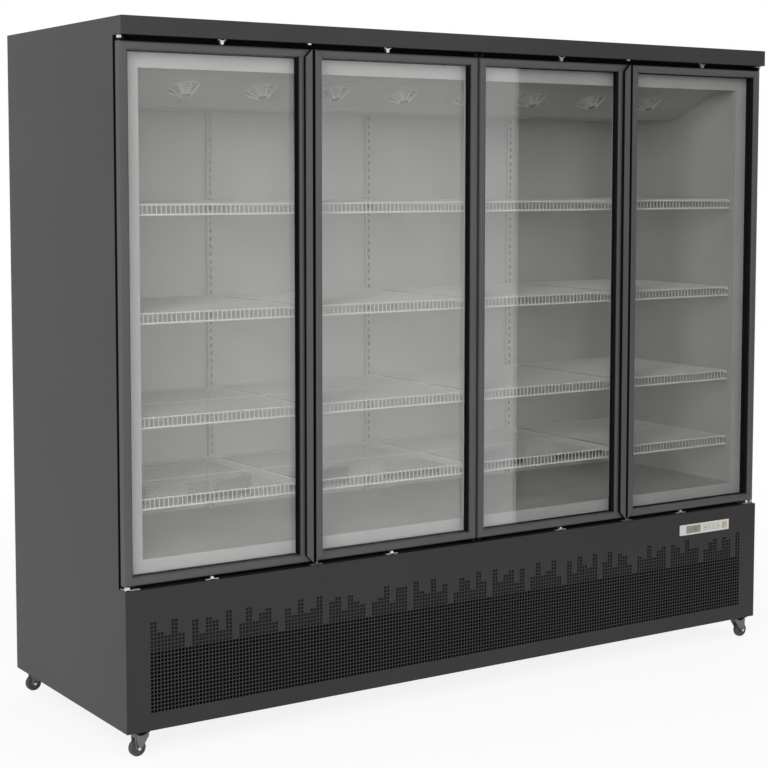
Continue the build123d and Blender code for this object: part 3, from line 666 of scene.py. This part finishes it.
class FREEZER_OT_doors(bpy.types.Operator):
    """Builds the door frames with their finger pulls, and finishes the glass and the seals"""

    bl_idname = "freezer.doors"
    bl_label = "Doors"

    hinge_stile = 0.025
    pull_stile = 0.033
    rail = 0.025
    reveal = 0.020
    reveal_shade_sheet = 0.0015
    inner_round = 0.009
    lip_width = 0.023
    lip_sheet = 0.0025
    lip_proud = 0.016
    lip_end_gap = 0.002
    web = 0.0012
    groove_shade = 0.022
    groove_shade_sheet = 0.0006

    def execute(self, context):
        sizes = context.scene.freezer_sizes
        for k in DOORS:
            self.frame_of(k, sizes)
            dress(f"door_{k}_glass", "glass")
            dress(f"door_{k}_seals", "gasket")
        return {"FINISHED"}

    def frame_of(self, k, sizes):
        """Mitred frame and pull of door k in place of its CAD frame, with black sheets of painted shade in
        its reveals, in the groove under its pull and on its free edge.
        """
        low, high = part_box(f"door_{k}_frame")
        face = low.y + self.lip_proud
        hinge_left = k % 2 == 1
        stiles = (self.hinge_stile, self.pull_stile)
        left, right = stiles if hinge_left else reversed(stiles)
        outer = (low.x, high.x, low.z, high.z)
        inner = (low.x + left, high.x - right, low.z + self.rail, high.z - self.rail)
        free, inward = (high.x, -1) if hinge_left else (low.x, 1)
        ends = low.z + self.lip_end_gap, high.z - self.lip_end_gap
        bm = bmesh.new()
        self.mitred(bm, outer, inner, face, high.y, sizes)
        self.strip(bm, free, inward, self.web, self.lip_width, low.y, low.y + self.lip_sheet, ends)
        piece(f"door_{k}_frame_finish", bm, f"door_{k}", "door", "door_paint", f"door_{k}_frame", smooth=25)
        # Black sheets of painted shade: in the reveals beside the glass, in the groove under the pull and on
        # the side of the free edge.
        bm = bmesh.new()
        self.reveal_shades(bm, inner, face + self.inner_round, face + self.reveal)
        self.strip(bm, free, inward, self.web, self.groove_shade, face - self.groove_shade_sheet, face, ends)
        block(bm, (min(free, free + inward * self.web), low.y, ends[0]),
              (max(free, free + inward * self.web), face, ends[1]))
        piece(f"door_{k}_shade_sheets", bm, f"door_{k}", "gasket", "seal_rubber")

    def mitred(self, bm, outer, inner, face, back, sizes):
        """Frame of four mitred members, their front edges rounded, between two rectangles."""
        turn = Matrix.Rotation(math.radians(90), 4, "X")
        made = bmesh.ops.create_grid(bm, x_segments=1, y_segments=1, size=0.5, matrix=turn)
        pane = bm.faces[:]
        self.stretch(made["verts"], outer, face)
        bmesh.ops.inset_individual(bm, faces=pane, thickness=self.rail, use_even_offset=True)
        self.stretch(pane[0].verts, inner, face)
        bmesh.ops.delete(bm, geom=pane, context="FACES")
        front = bm.edges[:]
        grown = bmesh.ops.extrude_face_region(bm, geom=bm.faces[:], use_keep_orig=True)["geom"]
        bmesh.ops.translate(bm, verts=[v for v in grown if isinstance(v, bmesh.types.BMVert)],
                            vec=(0, back - face, 0))
        bmesh.ops.recalc_face_normals(bm, faces=bm.faces)
        rim = [e for e in front if e.calc_face_angle() > 1]
        outside = [e for e in rim if self.on_edge(e, outer)]
        inside = [e for e in rim if self.on_edge(e, inner)]
        round_edges(bm, outside, sizes.frame_round, 5)
        round_edges(bm, [e for e in inside if e.is_valid], self.inner_round, 4)

    def stretch(self, verts, sides, y):
        """Moves the corners of a rectangle that faces -Y to its four sides."""
        x = sum(v.co.x for v in verts) / 4
        z = sum(v.co.z for v in verts) / 4
        for v in verts:
            v.co = sides[0] if v.co.x < x else sides[1], y, sides[2] if v.co.z < z else sides[3]

    def on_edge(self, edge, sides):
        """Whether both ends of an edge are corners of a rectangle."""
        return all(min(abs(v.co.x - sides[0]), abs(v.co.x - sides[1])) < NEAR
                   and min(abs(v.co.z - sides[2]), abs(v.co.z - sides[3])) < NEAR for v in edge.verts)

    def reveal_shades(self, bm, sides, front, back):
        """Black sheets of painted shade beside the glass, on the inner walls of the stiles."""
        left, right, low, high = sides
        for x in (left, right - self.reveal_shade_sheet):
            block(bm, (x, front, low), (x + self.reveal_shade_sheet, back, high))

    def strip(self, bm, free, inward, start, end, front, back, ends):
        """Upright strip between two distances from the free edge of a door, its ends mitred."""
        x0, x1 = sorted((free + inward * start, free + inward * end))
        middle = sum(ends) / 2
        for v in block(bm, (x0, front, ends[0]), (x1, back, ends[1])):
            if abs(v.co.x - free) > (start + end) / 2:
                v.co.z += end if v.co.z < middle else -end


class FREEZER_OT_hinges(bpy.types.Operator):
    """Builds the hinge brackets, the keepers over and under the doors and the stops between them"""

    bl_idname = "freezer.hinges"
    bl_label = "Hinges and keepers"

    plate = 0.046
    plate_sheet = 0.003
    inset = 0.008
    riser = 0.012
    pin = 0.003
    pin_reach = 0.0175
    clearance = 0.0005
    # Shift outwards, width and height of the bright cap over the hinge of an end door.
    caps = {1: (0.007, 0.009, 0.009), 4: (0.0005, 0.022, 0.005)}
    cap_proud = 0.001
    upper_keeper = 0.025
    lower_keeper = 0.042
    peg_root = 0.017
    peg_tip = 0.007
    stop_width = 0.010
    stop_height = 0.005
    stop_plate = 0.040
    stop_depth = 0.010
    stop_shift = 0.010
    foot_shift = 0.021
    edge = 0.0005

    def execute(self, context):
        bright, dark = bmesh.new(), bmesh.new()
        for k in DOORS:
            self.brackets(k, bright, dark)
        self.rounded("hinge_brackets_finish", bright, "zinc", "hinge_brackets")
        # The hinge parts in the gaps are the same zinc, darkened as painted shade.
        self.rounded("inner_hinge_brackets", dark, "bracket")
        bm = bmesh.new()
        for low, high in self.solids("door_catches"):
            self.keeper(bm, low, high)
        self.rounded("door_catches_finish", bm, "zinc", "door_catches")
        self.stops()
        return {"FINISHED"}

    def rounded(self, name, bm, key, *replaced):
        """Piece of small pressings whose edges are broken."""
        round_edges(bm, sharp_edges(bm), self.edge, 1)
        piece(name, bm, "cabinet", key, "zinc_steel", *replaced)

    def brackets(self, k, bright, dark):
        """Plates, risers and pins of door k: bright zinc below at the ends of the cabinet, elsewhere the same
        zinc darkened as painted shade, and capped above at the ends.
        """
        low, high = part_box("hinge_brackets")
        door_low, door_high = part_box(f"door_{k}_frame")
        x, y, _ = joints[f"door_{k}_hinge"]["pos_m"]
        side = -1 if k % 2 == 1 else 1
        x0, x1 = sorted((x + side * self.inset, x - side * (self.plate - self.inset)))
        reach = self.riser / 2
        at_end = k in (DOORS[0], DOORS[-1])
        lower = bright if at_end else dark
        block(lower, (x0, low.y, low.z), (x1, high.y, low.z + self.plate_sheet))
        block(lower, (x - reach, low.y, low.z), (x + reach, low.y + self.riser, door_low.z - self.clearance))
        rod(lower, (x, y, low.z), (x, y, door_low.z + self.pin_reach), self.pin, 16)
        block(dark, (x0, low.y, high.z - self.plate_sheet), (x1, high.y, high.z))
        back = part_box("front_frame")[0].y - self.clearance if at_end else low.y + self.riser
        block(dark, (x - reach, low.y, door_high.z + self.clearance), (x + reach, back, high.z))
        rod(dark, (x, y, door_high.z - self.pin_reach), (x, y, high.z), self.pin, 16)
        if at_end:
            shift, width, height = self.caps[k]
            x, reach = x + side * shift, width / 2
            block(bright, (x - reach, low.y - self.cap_proud, high.z - height),
                  (x + reach, low.y + self.riser, high.z - self.cap_proud))

    def solids(self, node):
        """Lowest and highest corners of each solid of a CAD node."""
        bm = copied(node)
        waiting, boxes = set(bm.verts), []
        while waiting:
            group, fresh = [], [waiting.pop()]
            while fresh:
                v = fresh.pop()
                group.append(v.co.copy())
                near = {e.other_vert(v) for e in v.link_edges} & waiting
                waiting -= near
                fresh += near
            boxes.append([Vector(pick(co[i] for co in group) for i in range(3)) for pick in (min, max)])
        bm.free()
        return sorted(boxes, key=lambda box: (round(box[0].z, 3), box[0].x))

    def keeper(self, bm, low, high):
        """Bar on the ledge or under the head, with a peg that narrows towards the door."""
        upper = low.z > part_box("door_1_frame")[1].z - self.plate
        x = (low.x + high.x) / 2
        half = (self.upper_keeper if upper else self.lower_keeper) / 2
        root, tip, way = (high.z, low.z, -1) if upper else (low.z, high.z, 1)
        z0, z1 = sorted((root, root + way * self.plate_sheet))
        block(bm, (x - half, low.y, z0), (x + half, high.y, z1))
        reach = self.peg_root / 2
        for v in block(bm, (x - reach, low.y, low.z), (x + reach, high.y, high.z)):
            if abs(v.co.z - tip) < NEAR:
                v.co.x = x + (v.co.x - x) * self.peg_tip / self.peg_root

    def stops(self):
        """Pads over the pulls, and low stops under the edges where two doors meet."""
        ledge, head = (corner.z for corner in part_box("door_catches"))
        pads, feet = bmesh.new(), bmesh.new()
        for k in (1, 3):
            low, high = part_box(f"door_{k}_frame")
            x = high.x - self.stop_shift
            half = self.stop_width / 2
            block(pads, (x - half, low.y, head - self.stop_height), (x + half, low.y + self.stop_depth, head))
            x = high.x + self.foot_shift
            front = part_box("door_catches")[0].y
            back = front + self.stop_depth
            half = self.stop_plate / 2
            block(feet, (x - half, front, ledge), (x + half, back, ledge + self.plate_sheet))
            half = self.peg_tip / 2
            block(feet, (x - half, front, ledge), (x + half, back, low.z - 2 * self.clearance))
        self.rounded("pull_stop_pads", pads, "zinc")
        self.rounded("pull_stop_feet", feet, "fork")


class FREEZER_OT_shelves(bpy.types.Operator):
    """Builds the wire shelves and the slotted uprights that carry them"""

    bl_idname = "freezer.shelves"
    bl_label = "Shelves"

    upright_clearance = 0.013
    upright_width = 0.020
    upright_depth = 0.012
    upright_sheet = 0.0015
    slot_web = 0.006
    foot_rail = 0.003
    foot_wire = 0.0018
    foot_height = 0.006

    def execute(self, context):
        sizes = context.scene.freezer_sizes
        for level in LEVELS:
            node = f"{level}_shelves"
            low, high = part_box(node)
            bm = bmesh.new()
            for left, right in self.bays(low.x, high.x):
                self.shelf(bm, left, right, low, high, sizes)
            piece(f"{node}_finish", bm, "cabinet", "wire", "shelf_coating", node, smooth=40)
        self.uprights(sizes)
        return {"FINISHED"}

    def bays(self, start, end):
        """Left and right edges of the shelves of one level."""
        gap = self.upright_clearance
        inner = [k * BAY for k in (-1, 0, 1)]
        return zip([start, *(x + gap for x in inner)], [*(x - gap for x in inner), end])

    def shelf(self, bm, left, right, low, high, sizes):
        """Deck of wires that bend down over the front, between rods."""
        rail, wire = sizes.rail_wire, sizes.deck_wire
        z = high.z - wire
        under = z - wire - rail
        foot = low.z + self.foot_rail
        front, back = low.y + self.foot_rail, high.y - rail
        for y, height, radius in ((front + wire + rail, under, rail), (front, foot, self.foot_rail),
                                  (back, under, rail), ((front + back) / 2, under, rail)):
            rod(bm, (left, y, height), (right, y, height), radius)
        for x in (left + rail, right - rail):
            rod(bm, (x, front, under), (x, back, under), rail)
        count = round((right - left) / sizes.deck_spacing)
        for i in range(1, count):
            x = left + (right - left) * i / count
            rod(bm, (x, front, z), (x, back, z), wire, 6)
            rod(bm, (x, front, foot), (x, front, z), wire, 6)
            rod(bm, (x, low.y + self.foot_wire, low.z), (x, low.y + self.foot_wire, foot + self.foot_height),
                self.foot_wire, 6)

    def uprights(self, sizes):
        """Channels with a row of slots, before the duct and behind the front frame."""
        low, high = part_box("shelf_uprights")
        canopy_low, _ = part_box("fan_canopy")
        bm = bmesh.new()
        edges = [low.x, *(k * BAY for k in (-1, 0, 1)), high.x]
        for k, x in enumerate(edges):
            reach = self.upright_width / 2
            left = x - (0 if k == 0 else reach)
            right = x + (0 if k == len(edges) - 1 else reach)
            self.channel(bm, left, right, high.y - self.upright_depth, high.y, low.z, canopy_low.z, sizes)
            self.channel(bm, left, right, low.y + self.upright_depth, low.y, low.z, high.z, sizes)
        piece("shelf_uprights_finish", bm, "cabinet", "liner", "liner_paint", "shelf_uprights")

    def channel(self, bm, left, right, face, back, bottom, top, sizes):
        """Slotted web at face, with flanges that reach to back."""
        sheet = self.upright_sheet
        count = int((top - bottom) / sizes.slot_pitch)
        middle = Vector(((left + right) / 2, face, (bottom + top) / 2))
        size = Matrix.Diagonal((right - left, 1.0, top - bottom, 1.0))
        turn = Matrix.Rotation(math.radians(90 if face < back else -90), 4, "X")
        made = bmesh.ops.create_grid(bm, x_segments=1, y_segments=count, size=0.5,
                                     matrix=Matrix.Translation(middle) @ size @ turn)
        web = list(dict.fromkeys(f for v in made["verts"] for f in v.link_faces))
        inset = min(self.slot_web, (right - left) / 3)
        rims = bmesh.ops.inset_individual(bm, faces=web, thickness=inset, use_even_offset=True)["faces"]
        bmesh.ops.delete(bm, geom=web, context="FACES")
        bmesh.ops.solidify(bm, geom=rims, thickness=-sheet)
        y0, y1 = sorted((face, back))
        for x in (left, right - sheet):
            block(bm, (x, y0, bottom), (x + sheet, y1, top))


class FREEZER_OT_fans(bpy.types.Operator):
    """Builds the evaporator fans, their motors and their wire guards"""

    bl_idname = "freezer.fans"
    bl_label = "Fans"

    plate = 0.083
    plate_sheet = 0.002
    plate_gap = 0.0002
    mouth = 0.046
    rim = 0.003
    drop = 0.026
    spokes = 8
    motor = 0.016
    motor_nose = 0.0128
    nose_height = 0.0052
    motor_gap = 0.0024
    hub = 0.018
    hub_crown = 0.0144
    crown_height = 0.004
    hub_low = 0.007
    hub_height = 0.018
    blades = 3
    blade_sheet = 0.0018
    root = 0.0153
    root_chord = 0.0208
    root_pitch = 34
    tip = 0.044
    tip_chord = 0.0299
    tip_pitch = 22
    camber = 0.002

    def execute(self, context):
        sizes = context.scene.freezer_sizes
        guards, motors, plates = bmesh.new(), bmesh.new(), bmesh.new()
        for k in FANS:
            place = self.place(joints[f"evaporator_fan_{k}_spin"])
            self.guard(guards, place, sizes)
            up = place.to_3x3() @ Vector((0, 0, 1))
            reach = self.hub_low - self.motor_gap
            turned(motors, [(-self.drop, 0.0), (-self.drop, self.motor_nose),
                            (self.nose_height - self.drop, self.motor), (reach, self.motor), (reach, 0.0)],
                   place.translation, up, 32)
            top, under = -self.plate_gap, -self.plate_sheet
            turned(plates, [(top, self.mouth), (top, self.plate), (under, self.plate), (under, self.mouth)],
                   place.translation, up, 40)
            self.rotor(k, place, up)
        for bm in (guards, motors, plates):
            close_turned(bm)
        piece("fan_guard_wires", guards, "cabinet", "guard", "guard_coating", "fan_guards", smooth=50)
        piece("fan_motors", motors, "cabinet", "fan", "guard_coating", smooth=40)
        piece("fan_mouth_plates", plates, "cabinet", "liner", "liner_paint", smooth=40)
        return {"FINISHED"}

    def place(self, joint):
        """Frame of a fan: Z along its axis into the canopy, X along the cabinet."""
        up = Vector(joint["axis"]).normalized()
        side = Vector((1, 0, 0))
        turn = Matrix((side, up.cross(side), up)).transposed().to_4x4()
        return Matrix.Translation(joint["pos_m"]) @ turn

    def guard(self, bm, place, sizes):
        """Dished rings and the wires that cross them."""
        wire = sizes.guard_wire
        outer = self.mouth + self.rim
        count = sizes.guard_rings
        for i in range(count):
            share = i / (count - 1)
            radius = between(outer, self.motor, share)
            height = between(-self.plate_sheet - wire, wire - self.drop, share)
            ring(bm, place @ Matrix.Translation((0, 0, height)), radius, wire)
        foot = Vector((outer, 0, -self.plate_sheet - wire))
        end = Vector((self.motor, 0, -self.drop))
        for i in range(self.spokes):
            turn = place @ Matrix.Rotation(math.tau * i / self.spokes, 4, "Z")
            rod(bm, turn @ foot, turn @ end, wire, 6)

    def rotor(self, k, place, up):
        """Hub and twisted blades of one fan."""
        bm = bmesh.new()
        low, high = self.hub_low, self.hub_low + self.hub_height
        turned(bm, [(low, 0.0), (low, self.hub), (high - self.crown_height, self.hub), (high, self.hub_crown),
                    (high, 0.0)], place.translation, up, 32)
        close_turned(bm)
        for i in range(self.blades):
            made = bmesh.ops.create_grid(bm, x_segments=6, y_segments=4, size=0.5)
            for v in made["verts"]:
                v.co = self.blade_point(v.co.x + 0.5, v.co.y)
            blade = list(dict.fromkeys(f for v in made["verts"] for f in v.link_faces))
            solid = bmesh.ops.solidify(bm, geom=blade, thickness=self.blade_sheet)["geom"]
            verts = list({*made["verts"], *(v for v in solid if isinstance(v, bmesh.types.BMVert))})
            turn = place @ Matrix.Rotation(math.tau * i / self.blades, 4, "Z")
            bmesh.ops.transform(bm, matrix=turn, verts=verts)
        piece(f"evaporator_fan_{k}_finish", bm, f"evaporator_fan_{k}", "fan", "fan_plastic",
              f"evaporator_fan_{k}", smooth=35)

    def blade_point(self, along, across):
        """Point of a blade: along runs from hub to tip, across from edge to edge."""
        radius = between(self.root, self.tip, along)
        pitch = math.radians(between(self.root_pitch, self.tip_pitch, along))
        chord = between(self.root_chord, self.tip_chord, along) * across
        middle = self.hub_low + self.hub_height / 2
        rise = middle + chord * math.sin(pitch) + self.camber * (1 - 4 * across * across)
        sweep = chord * math.cos(pitch) / radius
        return Vector((radius * math.cos(sweep), radius * math.sin(sweep), rise))


class FREEZER_OT_castors(bpy.types.Operator):
    """Builds the castor wheels and finishes the forks and plates"""

    bl_idname = "freezer.castors"
    bl_label = "Castors"

    radius = 0.025
    half_width = 0.010
    bore = 0.0041
    # Points of half a wheel's section outside its bore, as shares of the half width and the radius.
    section = [(1.0, 0.34), (0.7, 0.4), (0.7, 0.68), (0.95, 0.76), (0.95, 0.88), (0.6, 0.99), (0.0, 1.0)]
    crown = 0.013
    crown_flare = 1.28
    king_bore = 0.006
    # Height and radius of the points of the swivel head's section, from the top of the fork.
    head = [(0.0, 0.007), (0.0, 0.0215), (-0.004, 0.0215), (-0.0085, 0.0165), (-0.0085, 0.007)]
    cap_radius = 0.0042
    cap_height = 0.0015
    cap_shoulder = 0.7
    edge = 0.0006

    def execute(self, context):
        dress("castor_plates", "land")
        for corner in CORNERS:
            joint = joints[f"castor_spin_{corner}"]
            fork = f"castor_fork_{corner}"
            self.fork(fork, joints[f"castor_swivel_{corner}"]["pos_m"])
            self.wheel(corner, joint)
            self.caps(corner, joint)
        return {"FINISHED"}

    def fork(self, node, king):
        """Pressed fork whose crown flares out to the black swivel head over it."""
        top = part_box(node)[1].z
        bm = copied(node)
        for v in bm.verts:
            out = Vector((v.co.x - king[0], v.co.y - king[1]))
            if v.co.z > top - self.crown - self.edge and out.length > self.king_bore:
                v.co.x = king[0] + out.x * self.crown_flare
        round_edges(bm, sharp_edges(bm), self.edge, 2)
        piece(f"{node}_finish", bm, node, "fork", "zinc_steel", node)
        bm = bmesh.new()
        turned(bm, self.head, (king[0], king[1], top), (0, 0, 1), 40)
        close_turned(bm)
        piece(f"{node}_head", bm, node, "land", "zinc_steel", smooth=40)

    def caps(self, corner, joint):
        """Bright domed ends of the axle, on the outside of its nuts."""
        fork = f"castor_fork_{corner}"
        low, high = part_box(fork)
        axis = Vector(joint["axis"])
        r, h, s = self.cap_radius, self.cap_height, self.cap_shoulder
        bm = bmesh.new()
        for way, edge in ((1, high), (-1, low)):
            place = Vector(joint["pos_m"])
            place += axis * (axis.dot(edge) - axis.dot(place))
            profile = [(-h, 0.0), (-h, r), (0.0, r), (h * s, r * s), (h, 0.0)]
            turned(bm, profile, place, axis * way, 24)
        close_turned(bm)
        piece(f"castor_caps_{corner}", bm, fork, "zinc", "zinc_steel", smooth=40)

    def wheel(self, corner, joint):
        """Crowned wheel with a dished side and a raised hub."""
        r, w = self.radius, self.half_width
        half = [(w, self.bore), *((w * along, r * out) for along, out in self.section)]
        profile = half + [(-along, radius) for along, radius in half[-2::-1]]
        bm = bmesh.new()
        turned(bm, profile, joint["pos_m"], joint["axis"])
        close_turned(bm)
        name = f"castor_wheel_{corner}"
        piece(f"{name}_finish", bm, name, "rubber", "wheel_rubber", name, smooth=35)


class FREEZER_OT_controller(bpy.types.Operator):
    """Finishes the controller: bezel, display with digits, buttons with marks and the indicator"""

    bl_idname = "freezer.controller"
    bl_label = "Controller"

    digit_height = 0.013
    digit_width = 0.007
    digit_pitch = 0.011
    stroke = 0.0014
    proud = 0.0003
    lens_half = 0.011
    lens_proud = 0.0008
    lens_corner = 0.003
    case_round = 0.0012
    window_round = 0.0004
    mark_radius = 0.003
    # Sides and turn of the mark on each button: a disc, an arrow up, an arrow down and a square.
    marks = {1: (24, 0), 2: (3, 90), 3: (3, -90), 4: (4, 45)}

    def execute(self, context):
        softened("controller_housing", "cabinet", "panel", "controller_plastic", self.case_round)
        softened("controller_display", "cabinet", "display", "display_plastic", self.window_round)
        for k in BUTTONS:
            name = f"control_button_{k}"
            softened(name, name, "button", "button_plastic", self.case_round, 3)
            self.mark(k)
        self.digits()
        self.indicator()
        return {"FINISHED"}

    def digits(self):
        """Minus sign and two figures of seven segments on the front of the display."""
        low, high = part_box("controller_display")
        middle = (low + high) / 2
        w, h, s = self.digit_width / 2, self.digit_height / 2, self.stroke
        places = {"a": (0, h, True), "g": (0, 0, True), "d": (0, -h, True), "f": (-w, h / 2, False),
                  "b": (w, h / 2, False), "e": (-w, -h / 2, False), "c": (w, -h / 2, False)}
        bm = bmesh.new()
        for shift, lit in ((-1, "g"), (0, "bc"), (1, "abcdefg")):
            for segment in lit:
                x, z, flat = places[segment]
                x += middle.x + shift * self.digit_pitch
                dx, dz = (w - s / 2, s / 2) if flat else (s / 2, h / 2 - s / 2)
                block(bm, (x - dx, low.y - self.proud, middle.z + z - dz), (x + dx, low.y, middle.z + z + dz))
        piece("display_digits", bm, "cabinet", "digits", "display_plastic")

    def mark(self, k):
        """Raised plain mark on a button."""
        low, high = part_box(f"control_button_{k}")
        middle = (low + high) / 2
        sides, turn = self.marks[k]
        turn = math.radians(turn)
        place = Matrix.Translation((middle.x, low.y - self.proud / 2, middle.z))
        face = Matrix.Rotation(math.radians(90), 4, "X") @ Matrix.Rotation(turn, 4, "Z")
        bm = bmesh.new()
        bmesh.ops.create_cone(bm, cap_ends=True, segments=sides, radius1=self.mark_radius,
                              radius2=self.mark_radius, depth=self.proud, matrix=place @ face)
        piece(f"control_button_{k}_mark", bm, f"control_button_{k}", "mark", "button_plastic")

    def indicator(self):
        """Square lens to the right of the buttons."""
        low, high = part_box("controller_housing")
        _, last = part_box("control_button_4")
        x = (last.x + high.x) / 2
        z = (low.z + high.z) / 2
        r = self.lens_half
        bm = bmesh.new()
        block(bm, (x - r, low.y - self.lens_proud, z - r), (x + r, low.y, z + r))
        corners = [e for e in bm.edges if abs(e.verts[0].co.y - e.verts[1].co.y) > self.lens_proud / 2]
        round_edges(bm, corners, self.lens_corner, 4)
        piece("indicator_lens", bm, "cabinet", "lens", "display_plastic")


class FREEZER_OT_stage(bpy.types.Operator):
    """Sets the floor, the soft studio light and the camera"""

    bl_idname = "freezer.stage"
    bl_label = "Stage"

    floor_half = 40.0
    floor_glow = 0.86
    fade_start = 1.5
    fade_end = 4.0
    ambient = 0.7
    key_place = (-5.5, -6.0, 3.4)
    key_power = 480
    fill_place = (5.0, -6.5, 3.5)
    fill_power = 110
    lamp_target = (0.0, 0.0, 1.0)
    lamp_size = 5.0
    flag_sides = (1.445, 3.4)
    flag_front = -2.0
    flag_height = 2.6
    camera_place = (-3.2968, -4.7976, 1.6434)
    camera_yaw = 0.579
    camera_pitch = 0.078
    focal_pixels = 1731.4
    centre_pixel = (367.4, 315.5)
    image = 768
    sensor = 36.0

    def execute(self, context):
        context.scene.view_settings.view_transform = "Standard"
        self.floor()
        self.flag()
        self.world(context.scene)
        self.lamp("Key light", self.key_place, self.key_power)
        self.lamp("Fill light", self.fill_place, self.fill_power)
        self.camera(context.scene)
        return {"FINISHED"}

    def floor(self):
        """Wide pale floor that keeps the shadow and fades to white around it."""
        material, tree, where = blank("Pale studio floor")
        cloud = add(tree, "ShaderNodeTexNoise", {"Vector": where, "Scale": 1000 / 1650})
        tone = add(tree, "ShaderNodeValToRGB", {"Fac": cloud.outputs["Fac"]},
                   stops=((0.3, linear("#f4f4f4")), (0.7, linear("#f7f7f7"))))
        matt = add(tree, "ShaderNodeBsdfDiffuse", {"Color": tone.outputs["Color"]})
        glow = add(tree, "ShaderNodeEmission", {"Color": (1, 1, 1, 1), "Strength": 1.0})
        distance = add(tree, "ShaderNodeVectorMath", {0: where}, operation="LENGTH")
        fade = add(tree, "ShaderNodeMapRange", {
            "Value": distance.outputs["Value"], "From Min": self.fade_start, "From Max": self.fade_end,
            "To Min": self.floor_glow})
        share = add(tree, "ShaderNodeMath", {0: self.seen(tree), 1: fade.outputs["Result"]},
                    operation="MULTIPLY")
        mixed = add(tree, "ShaderNodeMixShader", {
            0: share.outputs["Value"], 1: matt.outputs["BSDF"], 2: glow.outputs["Emission"]})
        add(tree, "ShaderNodeOutputMaterial", {"Surface": mixed.outputs["Shader"]})
        self.sheet("floor", Matrix.Diagonal((2 * self.floor_half, 2 * self.floor_half, 1.0, 1.0)), material)

    def flag(self):
        """Dark card to the right of the camera, only mirrored, that keeps the right-hand glass clear."""
        x0, x1 = self.flag_sides
        place = Matrix.Translation(((x0 + x1) / 2, self.flag_front, self.flag_height / 2))
        size = Matrix.Diagonal((x1 - x0, 1.0, self.flag_height, 1.0))
        turn = Matrix.Rotation(math.radians(90), 4, "X")
        material, tree, where = blank("Black felt flag")
        nap = add(tree, "ShaderNodeTexNoise", {"Vector": where, "Scale": 1000 / 25})
        tone = add(tree, "ShaderNodeValToRGB", {"Fac": nap.outputs["Fac"]},
                   stops=((0.3, linear("#101010")), (0.7, linear("#161616"))))
        felt = add(tree, "ShaderNodeBsdfDiffuse", {"Color": tone.outputs["Color"]})
        add(tree, "ShaderNodeOutputMaterial", {"Surface": felt.outputs["BSDF"]})
        flag = self.sheet("flag", place @ size @ turn, material)
        flag.visible_camera = flag.visible_diffuse = flag.visible_shadow = False

    def sheet(self, name, place, material):
        """Flat piece of the stage: a square of one metre, set in place."""
        bm = bmesh.new()
        bmesh.ops.create_grid(bm, x_segments=1, y_segments=1, size=0.5, matrix=place)
        mesh = bpy.data.meshes.new(name)
        bm.to_mesh(mesh)
        bm.free()
        mesh.materials.append(material)
        sheet = bpy.data.objects.new(name, mesh)
        bpy.context.scene.collection.objects.link(sheet)
        return sheet

    def seen(self, tree):
        """1 for what the camera sees, straight, mirrored or through glass."""
        path = add(tree, "ShaderNodeLightPath")
        mirrored = add(tree, "ShaderNodeMath", {
            0: path.outputs["Is Camera Ray"], 1: path.outputs["Is Glossy Ray"]}, operation="MAXIMUM")
        return add(tree, "ShaderNodeMath", {
            0: mirrored.outputs[0], 1: path.outputs["Is Transmission Ray"]}, operation="MAXIMUM").outputs[0]

    def world(self, scene):
        """White surround, as seen and mirrored; it lights the object a little less than that."""
        world = bpy.data.worlds.new("Studio")
        scene.world = world
        world.use_nodes = True
        tree = world.node_tree
        tree.nodes.clear()
        strength = add(tree, "ShaderNodeMath", {0: self.seen(tree), 1: 1 - self.ambient, 2: self.ambient},
                       operation="MULTIPLY_ADD")
        light = add(tree, "ShaderNodeBackground", {"Color": (1, 1, 1, 1), "Strength": strength.outputs[0]})
        add(tree, "ShaderNodeOutputWorld", {"Surface": light.outputs[0]})

    def lamp(self, name, place, power):
        """Large square lamp that faces the cabinet's middle."""
        data = bpy.data.lights.new(name, "AREA")
        data.shape, data.size, data.energy = "SQUARE", self.lamp_size, power
        lamp = bpy.data.objects.new(name, data)
        lamp.location = place
        lamp.rotation_mode = "QUATERNION"
        lamp.rotation_quaternion = (Vector(self.lamp_target) - Vector(place)).to_track_quat("-Z", "Y")
        lamp.visible_glossy = False
        lamp.visible_transmission = False
        bpy.context.scene.collection.objects.link(lamp)

    def camera(self, scene):
        """Camera at the photograph's place and angle."""
        data = bpy.data.cameras.new("Camera")
        data.sensor_width = self.sensor
        data.lens = self.focal_pixels / self.image * self.sensor
        data.shift_x = 0.5 - self.centre_pixel[0] / self.image
        data.shift_y = self.centre_pixel[1] / self.image - 0.5
        camera = bpy.data.objects.new("Camera", data)
        camera.location = self.camera_place
        camera.rotation_euler = (math.pi / 2 - self.camera_pitch, 0, -self.camera_yaw)
        scene.collection.objects.link(camera)
        scene.camera = camera


STEPS = (
    FREEZER_OT_cabinet,
    FREEZER_OT_plinth,
    FREEZER_OT_doors,
    FREEZER_OT_hinges,
    FREEZER_OT_shelves,
    FREEZER_OT_fans,
    FREEZER_OT_castors,
    FREEZER_OT_controller,
    FREEZER_OT_stage,
)


class FREEZER_PT_panel(bpy.types.Panel):
    """Lists the freezer's sizes, colours and pieces"""

    bl_idname = "FREEZER_PT_panel"
    bl_label = "Display Freezer"
    bl_space_type = "VIEW_3D"
    bl_region_type = "UI"
    bl_category = "Freezer"

    def draw(self, context):
        for group in (context.scene.freezer_sizes, context.scene.freezer_colours):
            for name in group.__annotations__:
                self.layout.prop(group, name)
        for step in STEPS:
            self.layout.operator(step.bl_idname)


CLASSES = (FreezerSizes, FreezerColours, *STEPS, FREEZER_PT_panel)


def register():
    for cls in CLASSES:
        bpy.utils.register_class(cls)
    bpy.types.Scene.freezer_sizes = PointerProperty(type=FreezerSizes)
    bpy.types.Scene.freezer_colours = PointerProperty(type=FreezerColours)


def unregister():
    del bpy.types.Scene.freezer_colours
    del bpy.types.Scene.freezer_sizes
    for cls in reversed(CLASSES):
        bpy.utils.unregister_class(cls)


def main():
    """Builds every piece in order."""
    register()
    make_materials(bpy.context.scene.freezer_colours)
    for step in STEPS:
        getattr(bpy.ops.freezer, step.bl_idname.split(".")[1])()


if __name__ == "__main__":
    main()
